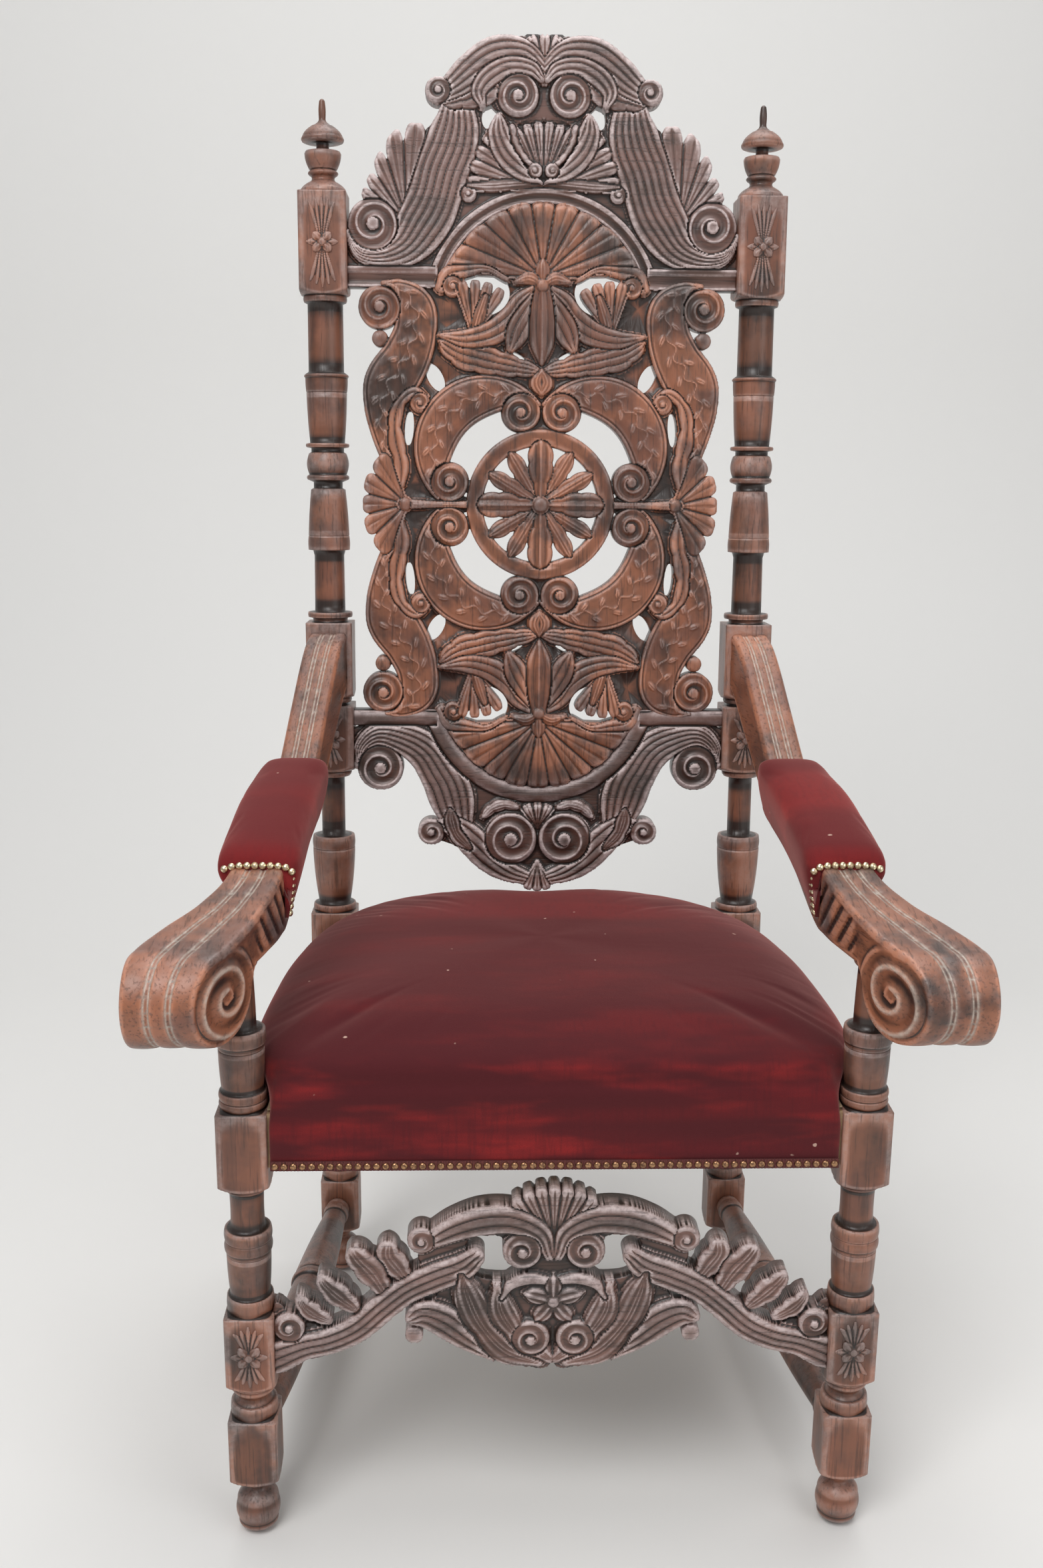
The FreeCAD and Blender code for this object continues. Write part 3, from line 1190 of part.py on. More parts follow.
side_rail = doc.addObject("PartDesign::Body", "side_rail_bar")
side_plan = sketch(side_rail, "side_rail_plan", "XY_Plane", [
    (-side_rail_x(y) + out, y) for out, y in (
        (-S.rail_thickness / 2, SIDE_RAIL_FRONT_Y), (S.rail_thickness / 2, SIDE_RAIL_FRONT_Y),
        (S.rail_thickness / 2, SIDE_RAIL_REAR_Y), (-S.rail_thickness / 2, SIDE_RAIL_REAR_Y),
    )
])
side_pad = side_rail.newObject("PartDesign::Pad", "side_rail_height")
side_pad.Profile = side_plan
bind(side_pad, {"Length": S.rail_height})
place(side_rail, ZERO, ZERO, RAIL_Z)
left_rail = piece(join("side_rail_whole", [
    side_rail,
    box("side_rail_front_tenon", *SIDE_FRONT_TENON),
    box("side_rail_rear_tenon", *SIDE_REAR_TENON),
]), "left_seat_rail")
mirrored(left_rail, "right_seat_rail")
piece(feature("corner_blocks", corner_blocks_solid()), "corner_blocks")

# Webbing, cloth, stuffed seat and braid
piece(feature("seat_webbing", webbing_solid()), "seat_webbing")
piece(feature("seat_base_cloth", cloth_solid()), "seat_base_cloth")
piece(feature("seat_cushion", seat_solid()), "seat_cushion")
piece(feature("seat_braid", braid_solid()), "seat_braid")

doc.recompute()
for obj in doc.Objects:
    if "Invalid" in obj.State or "Error" in obj.State:
        raise RuntimeError(f"{obj.Name} did not build: {obj.State}")
for obj in pieces:
    if obj.Shape.isNull() or not obj.Shape.isValid() or not obj.Shape.Solids:
        raise RuntimeError(f"{obj.Label} is not a sound solid")

os.makedirs("parts", exist_ok=True)
for obj in pieces:
    obj.Shape.exportStep(f"parts/{obj.Label}.step")
    print(obj.Label, len(obj.Shape.Solids), "solid(s)", round(obj.Shape.Volume), "cubic mm")
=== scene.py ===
import math

import bpy
import numpy as np
from mathutils import Matrix, Vector


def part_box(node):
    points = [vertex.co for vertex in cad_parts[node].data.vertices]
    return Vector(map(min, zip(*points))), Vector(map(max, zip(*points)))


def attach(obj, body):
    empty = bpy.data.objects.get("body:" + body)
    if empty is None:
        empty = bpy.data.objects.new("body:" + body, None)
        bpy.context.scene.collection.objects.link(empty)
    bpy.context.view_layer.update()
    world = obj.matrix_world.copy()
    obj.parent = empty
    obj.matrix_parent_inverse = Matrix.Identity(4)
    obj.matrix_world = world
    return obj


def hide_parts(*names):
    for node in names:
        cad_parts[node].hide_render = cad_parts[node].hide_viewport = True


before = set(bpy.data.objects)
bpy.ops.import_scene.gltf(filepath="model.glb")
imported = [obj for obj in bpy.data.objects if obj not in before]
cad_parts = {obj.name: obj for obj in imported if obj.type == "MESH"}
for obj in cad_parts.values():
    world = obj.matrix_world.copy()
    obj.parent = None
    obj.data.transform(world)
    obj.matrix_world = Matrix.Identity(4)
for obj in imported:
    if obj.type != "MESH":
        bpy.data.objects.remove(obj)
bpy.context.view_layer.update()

MM = 0.001
TAU = math.tau
SIDES = ((-1, "left"), (1, "right"))

# Places that the frame gives, and the legs' and posts' own sizes
LEG_LOW, LEG_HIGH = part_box("front_leg_left")
POST_LOW, POST_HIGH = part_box("rear_post_left")
LEG_X = -(LEG_LOW.x + LEG_HIGH.x) / 2
LEG_Y = (LEG_LOW.y + LEG_HIGH.y) / 2
POST_X = -(POST_LOW.x + POST_HIGH.x) / 2
LEG_DEPTH = 440 * MM
POST_Y = LEG_Y + LEG_DEPTH
RAKE = math.radians(3)
LEG_HALF = 22 * MM
POST_HALF = 25 * MM

# Heights on the legs, and above the bend distances along the raked posts
LOWER_BLOCK = (57 * MM, 122 * MM)
CARVED_BLOCK = (155 * MM, 227 * MM)
SEAT_BLOCK = (351 * MM, 423 * MM)
ARM_SEAT = 556 * MM
BEND = 423 * MM
REAR_STRETCHER_BLOCK = (177 * MM, 227 * MM)
REAR_SEAT_BLOCK = (340 * MM, 454 * MM)
RAIL_BLOCK = (616 * MM, 689 * MM)
ARM_BLOCK = (698 * MM, 780 * MM)
TOP_BLOCK = (1123 * MM, 1225 * MM)
FINIAL_TOP = 1318 * MM


def on_back(points):
    """Points given as across, distance up the raked posts and distance out of their middle plane."""
    across, up, out = np.moveaxis(np.asarray(points), -1, 0)
    y = POST_Y + up * math.sin(RAKE) - out * math.cos(RAKE)
    z = BEND + up * math.cos(RAKE) + out * math.sin(RAKE)
    return np.stack([across, y, z], axis=-1)


def on_front(points):
    """Points given as across, height and distance out of the front legs' middle plane."""
    across, up, out = np.moveaxis(np.asarray(points), -1, 0)
    return np.stack([across, LEG_Y - out, up], axis=-1)


# Curves and meshes


def travelled(path):
    """How far along a flat path each of its points lies."""
    return np.concatenate([[0], np.cumsum(np.hypot(*np.diff(path, axis=0).T))])


def bell(offset, width):
    """1 at an offset of 0, falling away on both sides as a bell curve does."""
    return np.exp(-((offset / width) ** 2))


def arched(share):
    """A half circle's height: 1 in the middle, 0 at a share of 1 either way."""
    return np.sqrt(np.clip(1 - share**2, 0, 1))


def squared_off(wave, power):
    """A wave raised to a power with its sign kept. Under 1 it squares a circle off."""
    return np.sign(wave) * np.abs(wave) ** power


def curve(points, per=10, closed=False):
    """A curve through points: between two of them runs the cubic whose slope at each is half the
    step from the point before it to the point after it."""
    points = np.asarray(points, float)
    if closed:
        run = np.vstack([points[-1:], points, points[:2]])
    else:
        run = np.vstack([2 * points[0] - points[1], points, 2 * points[-1] - points[-2]])
    before, start, end, after = (part[:, None] for part in (run[:-3], run[1:-2], run[2:-1], run[3:]))
    u = np.linspace(0, 1, per, endpoint=False)[:, None]
    made = 0.5 * (
        2 * start + (end - before) * u + (2 * before - 5 * start + 4 * end - after) * u**2
        + (3 * start - before - 3 * end + after) * u**3
    )
    made = made.reshape(-1, points.shape[1])
    return made if closed else np.vstack([made, points[-1:]])


def new_object(name, points, quads, material):
    """A smooth object from an array of points and an array of four-cornered faces."""
    mesh = bpy.data.meshes.new(name)
    mesh.vertices.add(len(points))
    mesh.vertices.foreach_set("co", np.ascontiguousarray(points, np.float32).ravel())
    mesh.loops.add(quads.size)
    mesh.loops.foreach_set("vertex_index", np.ascontiguousarray(quads, np.int32).ravel())
    mesh.polygons.add(len(quads))
    mesh.polygons.foreach_set("loop_start", np.arange(0, quads.size, 4, dtype=np.int32))
    mesh.update(calc_edges=True)
    mesh.materials.append(material)
    mesh.shade_smooth()
    made = bpy.data.objects.new(name, mesh)
    bpy.context.scene.collection.objects.link(made)
    return made


def grid_quads(rows, columns, around):
    """Corner numbers of the faces between neighbouring rows and columns."""
    column = np.arange(columns if around else columns - 1)
    beside = (column + 1) % columns
    row = np.arange(rows - 1)[:, None] * columns
    quads = np.stack([row + column, row + beside, row + columns + beside, row + columns + column], -1)
    return quads.reshape(-1, 4)


def closing_quads(ring, centre):
    """Faces that fan from a centre to a closed ring, two of the ring's sides at a time."""
    first = ring[0::2]
    return np.stack([np.full(len(first), centre), first, ring[1::2], np.roll(first, -1)], -1)


def closed_tube(grid):
    """Points and faces of a closed form from rings of points, with a fan at each end."""
    rows, columns, _ = grid.shape
    points = np.vstack([grid.reshape(-1, 3), grid[0].mean(0), grid[-1].mean(0)])
    last = rows * columns
    ring = np.arange(columns)
    return points, np.vstack([
        grid_quads(rows, columns, True),
        closing_quads(ring[::-1], last),
        closing_quads(ring + last - columns, last + 1),
    ])


def joined(pieces):
    """One array of points and one of faces from several pieces that each have their own."""
    first = np.cumsum([0] + [len(points) for points, _ in pieces[:-1]])
    return (np.vstack([points for points, _ in pieces]),
            np.vstack([quads + start for (_, quads), start in zip(pieces, first)]))


def tube(name, grid, material):
    """A closed form from rings of points as an object."""
    return tidy(new_object(name, *closed_tube(grid), material))


def tidy(made, gap=1e-6):
    """Merges points that meet and turns every face outwards."""
    bpy.context.view_layer.objects.active = made
    bpy.ops.object.select_all(action="DESELECT")
    made.select_set(True)
    bpy.ops.object.mode_set(mode="EDIT")
    bpy.ops.mesh.select_all(action="SELECT")
    bpy.ops.mesh.remove_doubles(threshold=gap)
    bpy.ops.mesh.normals_make_consistent(inside=False)
    bpy.ops.object.mode_set(mode="OBJECT")
    return made


def apply_modifier(made, kind, **settings):
    """Adds a modifier with its settings and applies it."""
    modifier = made.modifiers.new(kind.lower(), kind)
    for key, value in settings.items():
        setattr(modifier, key, value)
    bpy.context.view_layer.objects.active = made
    bpy.ops.object.modifier_apply(modifier=modifier.name)


def vertex_rows(mesh, field="co"):
    """Places or normals of a mesh's points, a row for each."""
    values = np.empty(len(mesh.vertices) * 3)
    mesh.vertices.foreach_get(field, values)
    return values.reshape(-1, 3)


def paint(made, name, values):
    """Stores a value for each point, under a name that the materials read."""
    made.data.attributes.new(name, "FLOAT", "POINT").data.foreach_set(
        "value", np.ascontiguousarray(values, np.float32))


def find_convexity(made, passes=10, scale=0.5 * MM):
    """Stores how far each point stands out of the average of its surroundings, along its normal.
    The average is taken over a point's neighbours and then again over theirs, several times."""
    mesh = made.data
    points, normals = vertex_rows(mesh), vertex_rows(mesh, "normal")
    count = len(points)
    edges = np.empty(len(mesh.edges) * 2, int)
    mesh.edges.foreach_get("vertices", edges)
    edges = edges.reshape(-1, 2)
    start, end = np.concatenate([edges, edges[:, ::-1]]).T
    degree = np.maximum(np.bincount(start, minlength=count), 1)
    mean = points
    for _ in range(passes):
        sums = [np.bincount(start, mean[end, axis], minlength=count) for axis in range(3)]
        mean = (mean + np.stack(sums, -1) / degree[:, None]) / 2
    # Read by the materials for rubbed edges, dust with painted highlight on ridges and painted shade in
    # hollows
    paint(made, "convexity", ((points - mean) * normals).sum(-1) / scale)
    return made


def keep(made, slot, *nodes):
    """Rides a finished piece on the chair and hides the solids it stands for."""
    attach(made, "root")
    if nodes:
        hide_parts(*nodes)
    return made


# Materials

# How a pattern is drawn out: not at all, or along one axis, as grain is
EVEN, ALONG_X, ALONG_Y, ALONG_Z = (1, 1, 1), (0.05, 1, 1), (1, 0.05, 1), (1, 1, 0.05)


class Field:
    """One output of a shader node. Arithmetic on it adds Math nodes."""

    def __init__(self, graph, socket):
        self.graph, self.socket = graph, socket

    def math(self, operation, *values):
        return self.graph.add("ShaderNodeMath", {"operation": operation}, *values)

    def __add__(self, other):
        return self.math("ADD", self, other)

    def __sub__(self, other):
        return self.math("SUBTRACT", self, other)

    def __rsub__(self, other):
        return self.math("SUBTRACT", other, self)

    def __mul__(self, other):
        return self.math("MULTIPLY", self, other)

    __radd__ = __add__
    __rmul__ = __mul__

    def step(self, low, high):
        """Rises smoothly from 0 at the low value to 1 at the high one."""
        settings = {"interpolation_type": "SMOOTHSTEP"}
        return self.graph.add("ShaderNodeMapRange", settings, self, low, high, 0.0, 1.0)


class Graph:
    """The nodes of one material."""

    def __init__(self, name):
        self.material = bpy.data.materials.new(name)
        self.material.use_nodes = True
        self.tree = self.material.node_tree
        self.tree.nodes.clear()

    def add(self, kind, settings=None, *values, output=0, **inputs):
        """One node: its type, its settings, and the values or links of its inputs in order or by
        name, with an underscore for each space."""
        node = self.tree.nodes.new(kind)
        for key, value in (settings or {}).items():
            setattr(node, key, value)
        pairs = list(zip(node.inputs, values))
        pairs += [(node.inputs[key.replace("_", " ")], value) for key, value in inputs.items()]
        for socket, value in pairs:
            if isinstance(value, Field):
                self.tree.links.new(value.socket, socket)
            elif value is not None:
                socket.default_value = value
        return Field(self, node.outputs[output]) if node.outputs else None

    def place(self, scale=EVEN):
        """Object coordinates in metres, stretched by a scale on each axis."""
        place = self.add("ShaderNodeTexCoord", output=3)
        return self.add("ShaderNodeMapping", {}, Vector=place, Scale=scale)

    def noise(self, scale, stretch=EVEN, detail=3.0, rough=0.55):
        """Soft noise whose scale is in clouds to the metre."""
        return self.add("ShaderNodeTexNoise", {}, Vector=self.place(stretch), Scale=scale,
                        Detail=detail, Roughness=rough)

    def attribute(self, name):
        return self.add("ShaderNodeAttribute", {"attribute_name": name}, output=2)

    def facing_up(self):
        normal = self.add("ShaderNodeNewGeometry", output=1)
        return self.add("ShaderNodeSeparateXYZ", {}, normal, output=2)

    def mix(self, share, first, second):
        """Colour that goes from the first to the second as the share goes from 0 to 1. The Mix
        node has five sockets for numbers and vectors between its share and its colours."""
        colours = [value if isinstance(value, Field) else (*value, 1) for value in (first, second)]
        between = [None] * 5
        return self.add("ShaderNodeMix", {"data_type": "RGBA"}, share, *between, *colours, output=2)

    def bump(self, height, distance, strength=1.0):
        return self.add("ShaderNodeBump", {}, Height=height, Distance=distance, Strength=strength)

    def surface(self, **inputs):
        shader = self.add("ShaderNodeBsdfPrincipled", {}, **inputs)
        self.add("ShaderNodeOutputMaterial", {}, shader)
        return self.material


# Near black: pores, and painted shade together with grime in the hollows
OAK_DEEP = (0.012, 0.007, 0.005)
OAK_DARK = (0.045, 0.022, 0.015)
OAK_RED = (0.180, 0.066, 0.038)
OAK_WORN = (0.50, 0.175, 0.078)
# Pale dust together with painted highlight, laid on what faces up and on ridges
OAK_DUST_AND_HIGHLIGHT = (0.44, 0.350, 0.325)
OAK_MAUVE = (0.150, 0.074, 0.058)
# Paler dust together with painted highlight, for the crest and the stretcher
OAK_PALE = (0.60, 0.49, 0.475)
LINE_WAX = (0.62, 0.52, 0.44)
VELVET_LINT = (0.62, 0.42, 0.34)
VELVET_SHEEN = (0.95, 0.42, 0.38, 1)


def oak(name, grain, worn, dust_and_highlight_amount, lined=False, body=OAK_RED, pale=OAK_DUST_AND_HIGHLIGHT):
    """Dark waxed oak: nearly black with clouds of the body colour, orange where edges are rubbed,
    pale dust together with painted highlight on what faces up and on ridges, painted shade together
    with grime in the hollows, near black, with pores along the grain. Incised lines hold wax."""
    graph = Graph(name)
    pores = graph.noise(420.0, grain, 4.0).step(0.52, 0.68)
    streaks = graph.noise(60.0, grain)
    clouds = graph.noise(9.0, EVEN, 2.0)
    patches = graph.noise(17.0, EVEN, 4.0, 0.6)
    # How far a point stands out: drives rubbed wear, dust with painted highlight on ridges and painted
    # shade in hollows
    convexity = graph.attribute("convexity")
    ridge = convexity.step(0.05, 1.05)
    hollow = (convexity * -1.0).step(0.05, 0.95)
    cloudy = (streaks * 0.6 + clouds * 0.7).step(0.50, 0.80)
    colour = graph.mix(cloudy, OAK_DARK, body)
    rubbed = (ridge * 0.7 + 0.3) * patches.step(0.41, 0.60) * worn
    colour = graph.mix(rubbed, colour, OAK_WORN)
    # Painted highlight together with dust: paler on what faces up, as if lit from above, and on ridges
    up = graph.facing_up().step(0.10, 0.95)
    grime = graph.noise(150.0, EVEN, 4.0, 0.7).step(0.32, 0.68)
    dust_and_highlight = (up * 0.40 + ridge * 0.80) * (grime * 0.55 + 0.45) * dust_and_highlight_amount
    colour = graph.mix(dust_and_highlight, colour, pale)
    # Painted shade together with grime: the hollows go near black
    colour = graph.mix(hollow * 0.92, colour, OAK_DEEP)
    colour = graph.mix(pores * 0.45, colour, OAK_DEEP)
    if lined:
        colour = graph.mix(graph.attribute("line") * (grime * 0.5 + 0.4), colour, LINE_WAX)
    roughness = patches * 0.22 + dust_and_highlight * 0.18 + 0.30
    relief = graph.noise(900.0, grain, 4.0) * 0.4 - pores * 0.8 + graph.noise(70.0, grain) * 0.8
    normal = graph.bump(relief, 0.35 * MM, 0.7)
    return graph.surface(Base_Color=colour, Roughness=roughness, Normal=normal,
                         Specular_IOR_Level=0.5, Coat_Weight=0.25, Coat_Roughness=0.3)


def velvet(name, pile, bright, dark):
    """Cut pile: level bands where the nap lies the other way, darker and less brushed on what faces
    up, a fine tuft grain in upright ribs, lint and a sheen."""
    graph = Graph(name)
    bands = graph.noise(8.0, (0.07, 0.75, 1.9), 2.0, 0.5)
    brushed = graph.noise(24.0, (0.25, 0.8, 1.2), 3.0, 0.6)
    ribs = graph.noise(260.0, (1, 0.25, 0.12), 2.0)
    tufts = graph.noise(1100.0, EVEN, 2.0)
    # Darker on what faces up, and less brushed there
    flat = graph.facing_up().step(0.30, 0.95)
    colour = graph.mix(bands.step(0.44, 0.58), dark, pile)
    colour = graph.mix(brushed.step(0.46, 0.74) * 0.6 * (1 - flat * 0.6), colour, bright)
    colour = graph.mix(flat * 0.42, colour, dark)
    colour = graph.mix(ribs.step(0.50, 0.66) * 0.30, colour, dark)
    colour = graph.mix(tufts.step(0.30, 0.62) * 0.25, colour, dark)
    lint = graph.noise(85.0, EVEN, 1.0).step(0.775, 0.81)
    colour = graph.mix(lint * 0.7, colour, VELVET_LINT)
    relief = tufts * 0.5 + brushed * 1.2 + ribs * 0.4
    return graph.surface(Base_Color=colour, Roughness=0.88, Normal=graph.bump(relief, 0.5 * MM, 0.6),
                         Sheen_Weight=0.40, Sheen_Roughness=0.45, Sheen_Tint=VELVET_SHEEN,
                         Specular_IOR_Level=0.2)


def brass(name, colour, tarnish, rough):
    """Brass with darker, duller spots."""
    graph = Graph(name)
    spots = graph.noise(300.0).step(0.42, 0.66)
    shade = graph.mix(spots * 0.8, colour, tarnish)
    return graph.surface(Base_Color=shade, Metallic=1.0, Roughness=spots * 0.25 + rough)


def woven(name, first, second, fineness):
    """Plain weave: crossing waves of two yarns, about three waves to the metre for each unit of
    its fineness."""
    graph = Graph(name)
    across, along = (
        graph.add("ShaderNodeTexWave", {"bands_direction": axis}, Vector=graph.place(),
                  Scale=fineness, Distortion=1.0)
        for axis in ("X", "Y"))
    yarns = across * along
    colour = graph.mix(yarns, first, second)
    return graph.surface(Base_Color=colour, Roughness=0.9, Normal=graph.bump(yarns, 0.4 * MM))


def sawn_wood(name):
    """Pale sawn wood with its grain along the rails."""
    graph = Graph(name)
    rings = graph.noise(80.0, (0.06, 1, 1), 4.0)
    colour = graph.mix(rings.step(0.35, 0.7), (0.30, 0.19, 0.10), (0.45, 0.31, 0.18))
    return graph.surface(Base_Color=colour, Roughness=rings * 0.2 + 0.6,
                         Normal=graph.bump(rings, 0.3 * MM))


OAK_TURNED = oak("turned_oak", ALONG_Z, worn=0.60, dust_and_highlight_amount=0.55)
OAK_CARVED = oak("carved_oak", ALONG_Z, worn=1.25, dust_and_highlight_amount=0.60)
# The crest and the stretcher take more of the paler dust and painted highlight
OAK_CREST = oak("crest_oak", ALONG_X, worn=0.15, dust_and_highlight_amount=1.25, body=OAK_MAUVE, pale=OAK_PALE)
OAK_STRETCHER = oak("stretcher_oak", ALONG_X, worn=0.15, dust_and_highlight_amount=1.0, body=OAK_MAUVE, pale=OAK_PALE)
OAK_ARM = oak("arm_oak", ALONG_Y, worn=1.25, dust_and_highlight_amount=0.35, lined=True)
SEAT_VELVET = velvet("seat_velvet", (0.190, 0.010, 0.013), (0.40, 0.022, 0.020),
                     (0.070, 0.009, 0.012))
ARM_VELVET = velvet("arm_velvet", (0.24, 0.014, 0.014), (0.36, 0.035, 0.03), (0.11, 0.010, 0.012))
BRAID = woven("braid_cloth", (0.06, 0.012, 0.012), (0.19, 0.05, 0.04), 240.0)
SEAT_BRASS = brass("seat_nail_brass", (0.42, 0.24, 0.13), (0.10, 0.05, 0.035), 0.30)
ARM_BRASS = brass("arm_nail_brass", (0.85, 0.74, 0.50), (0.35, 0.22, 0.13), 0.25)
WEBBING = woven("webbing_jute", (0.20, 0.13, 0.07), (0.42, 0.31, 0.18), 200.0)
HESSIAN = woven("base_hessian", (0.24, 0.17, 0.10), (0.50, 0.39, 0.24), 320.0)
FRAME_WOOD = sawn_wood("frame_wood_sawn")


# Turned and squared pieces

AROUND = 96
ANGLES = np.arange(AROUND) * TAU / AROUND


def lathe(table, low, high, radius):
    """A turned profile between two heights. Each row holds a share of the length, a share of the
    radius and how far the line to the next row bows out, as a share of the radius: an arch of a
    sine's half wave."""
    length = high - low
    rows = []
    for (along, out, bow), (next_along, next_out, _) in zip(table, table[1:]):
        steps = 9 if bow else 2 if next_along > along else 1
        u = np.arange(steps) / steps
        share_out = out + (next_out - out) * u + bow * np.sin(math.pi * u)
        rows.append(np.stack([low + length * (along + (next_along - along) * u),
                              radius * share_out], -1))
    along, out, _ = table[-1]
    rows.append([[low + length * along, radius * out]])
    return np.vstack(rows)


def squared(low, high, half, shoulder=7 * MM, top_round=1.5 * MM):
    """Rings of a squared block as rows of height, the lathe's radius and the block's half side.
    The lathe has rounded its lower corners and left its upper face flat."""
    corner = half * math.sqrt(2)
    rise = np.linspace(0, 1, 7)
    lower = np.stack([low + shoulder * rise, half + (corner - half) * np.sin(rise * math.pi / 2)], -1)
    rows = np.vstack([lower, [[low + (high - low) * share, corner] for share in (0.35, 0.7)],
                      [[high - top_round, corner], [high, corner - top_round]]])
    return np.column_stack([rows, np.full(len(rows), half)])


def assemble(parts):
    """Joins turned profiles and squared blocks, from the lowest to the highest ring. A profile has
    no block round it, so its half side is a metre."""
    return np.vstack([part if part.shape[1] == 3 else np.column_stack([part, np.ones(len(part))])
                      for part in parts])


WORN_CORNER_SHARE = 1.37


def post_rings(rows):
    """Distance from the axis at every angle: the smaller of the lathe's radius and the block's
    face, which stands at half its side over the larger of the angle's cosine and sine. Its corners
    are worn off a little short of a square's."""
    face = 1 / np.maximum(np.abs(np.cos(ANGLES)), np.abs(np.sin(ANGLES)))
    square = rows[:, 2:3] * np.minimum(face, WORN_CORNER_SHARE)
    radius = np.minimum(rows[:, 1:2], square)
    return np.stack([radius * np.cos(ANGLES), radius * np.sin(ANGLES),
                     np.broadcast_to(rows[:, :1], radius.shape)], -1)


def finer(rows, longest=9 * MM):
    """Adds rings so that none stands further than the longest step above the one below."""
    made = [rows[:1]]
    for low, high in zip(rows, rows[1:]):
        count = max(1, math.ceil((high[0] - low[0]) / longest))
        u = (np.arange(count) + 1)[:, None] / count
        made.append(low + (high - low) * u)
    return np.vstack(made)


FOOT = [(0, 0.36, 0.0), (0.03, 0.44, 0.16), (0.20, 0.80, 0.09), (0.52, 0.86, 0.12),
        (0.74, 0.50, -0.05), (0.82, 0.46, 0.0), (0.88, 0.48, -0.03), (1, 0.70, 0.0)]
LOWER_TURNING = [(0, 0.94, 0.03), (0.40, 0.94, 0.0), (0.42, 0.80, -0.08), (0.66, 0.70, 0.0),
                 (0.68, 0.74, 0.10), (0.92, 0.86, 0.0), (0.93, 0.94, 0.0), (1, 0.94, 0)]
LEG_TURNING = [(0, 0.93, 0.03), (0.13, 0.93, 0.0), (0.135, 0.80, 0.02), (0.45, 0.895, 0.0),
               (0.452, 0.87, 0.0), (0.46, 0.90, 0.0), (0.485, 0.90, 0.0), (0.49, 0.95, 0.03),
               (0.56, 0.93, 0.0), (0.565, 0.91, 0.0), (0.57, 0.94, 0.03), (0.655, 0.93, 0.0),
               (0.66, 0.69, -0.02), (0.955, 0.69, 0.0), (0.96, 0.80, 0.05), (0.985, 0.80, 0.0),
               (0.99, 0.70, 0.0), (1, 0.70, 0)]
ARM_SUPPORT = [(0, 0.84, 0.0), (0.02, 0.92, 0.03), (0.06, 0.92, 0.0), (0.065, 0.86, 0.0),
               (0.07, 0.92, 0.03), (0.12, 0.92, 0.0), (0.13, 0.82, 0.02), (0.40, 0.90, 0.0),
               (0.402, 0.87, 0.0), (0.41, 0.90, 0.0), (0.435, 0.90, 0.0), (0.44, 0.95, 0.03),
               (0.53, 0.95, 0.0), (0.54, 0.62, 0.01), (0.93, 0.55, 0.0), (0.94, 0.64, 0.08),
               (0.985, 0.66, 0.0), (0.99, 0.58, 0.0), (1, 0.58, 0)]
REAR_LOWER_TURNING = [(0, 0.94, 0.03), (0.22, 0.94, 0.0), (0.24, 0.80, -0.06), (0.52, 0.68, 0.0),
                      (0.54, 0.72, 0.10), (0.90, 0.86, 0.0), (0.92, 0.94, 0.0), (1, 0.94, 0)]
REAR_TURNING = [(0, 0.90, 0.03), (0.07, 0.90, 0.0), (0.08, 0.76, 0.03), (0.34, 0.88, 0.0),
                (0.35, 0.92, 0.03), (0.42, 0.90, 0.0), (0.43, 0.68, 0.0), (0.95, 0.70, 0.0),
                (0.96, 0.82, 0.04), (1, 0.82, 0)]
BASE_TURNING = [(0, 0.93, 0.03), (0.05, 0.93, 0.0), (0.056, 0.70, 0.04), (0.42, 0.94, 0.0),
                (0.445, 0.94, 0.0), (0.446, 0.90, 0.0), (0.45, 0.93, 0.03), (0.535, 0.92, 0.0),
                (0.54, 0.52, 0.0), (0.95, 0.52, 0.0), (0.955, 0.76, 0.06), (1, 0.80, 0)]
COLLAR = [(0, 0.76, 0.0), (0.3, 0.72, 0.0), (0.32, 0.84, 0.05), (1, 0.84, 0)]
POST_TURNING = [
    (0, 0.78, -0.03), (0.015, 0.78, 0.0), (0.016, 0.95, 0.02), (0.032, 0.95, 0.0),
    (0.033, 0.66, 0.0), (0.21, 0.64, 0.0), (0.226, 0.70, 0.0), (0.228, 0.89, 0.02),
    (0.271, 0.88, 0.0), (0.2715, 0.855, 0.0), (0.274, 0.88, 0.02), (0.415, 0.74, 0.0),
    (0.42, 0.62, 0.0), (0.438, 0.62, 0.0), (0.446, 0.88, 0.03), (0.458, 0.88, 0.0),
    (0.461, 0.80, 0.10), (0.526, 0.80, 0.0), (0.53, 0.70, 0.0), (0.542, 0.70, 0.0),
    (0.545, 0.90, 0.03), (0.556, 0.90, 0.0), (0.558, 0.74, 0.02), (0.71, 0.86, 0.0),
    (0.7105, 0.83, 0.0), (0.713, 0.87, 0.01), (0.755, 0.90, 0.0), (0.756, 0.92, 0.03),
    (0.765, 0.91, 0.0), (0.773, 0.75, 0.0), (0.975, 0.745, 0.0), (0.98, 0.89, 0.03), (1, 0.89, 0),
]
FINIAL = [(0, 0.96, 0.0), (0.04, 0.94, 0.06), (0.13, 0.52, -0.04), (0.18, 0.50, 0.0),
          (0.194, 0.58, 0.05), (0.236, 0.58, 0.0), (0.25, 0.52, 0.0), (0.258, 0.58, 0.04),
          (0.42, 0.76, 0.0), (0.445, 0.72, 0.0), (0.452, 0.30, -0.03), (0.535, 0.28, 0.0),
          (0.538, 0.76, 0.0), (0.548, 0.85, 0.04), (0.60, 0.84, 0.07), (0.715, 0.45, -0.02),
          (0.73, 0.32, -0.06), (0.80, 0.14, 0.02), (0.97, 0.12, 0.02), (1, 0.04, 0)]
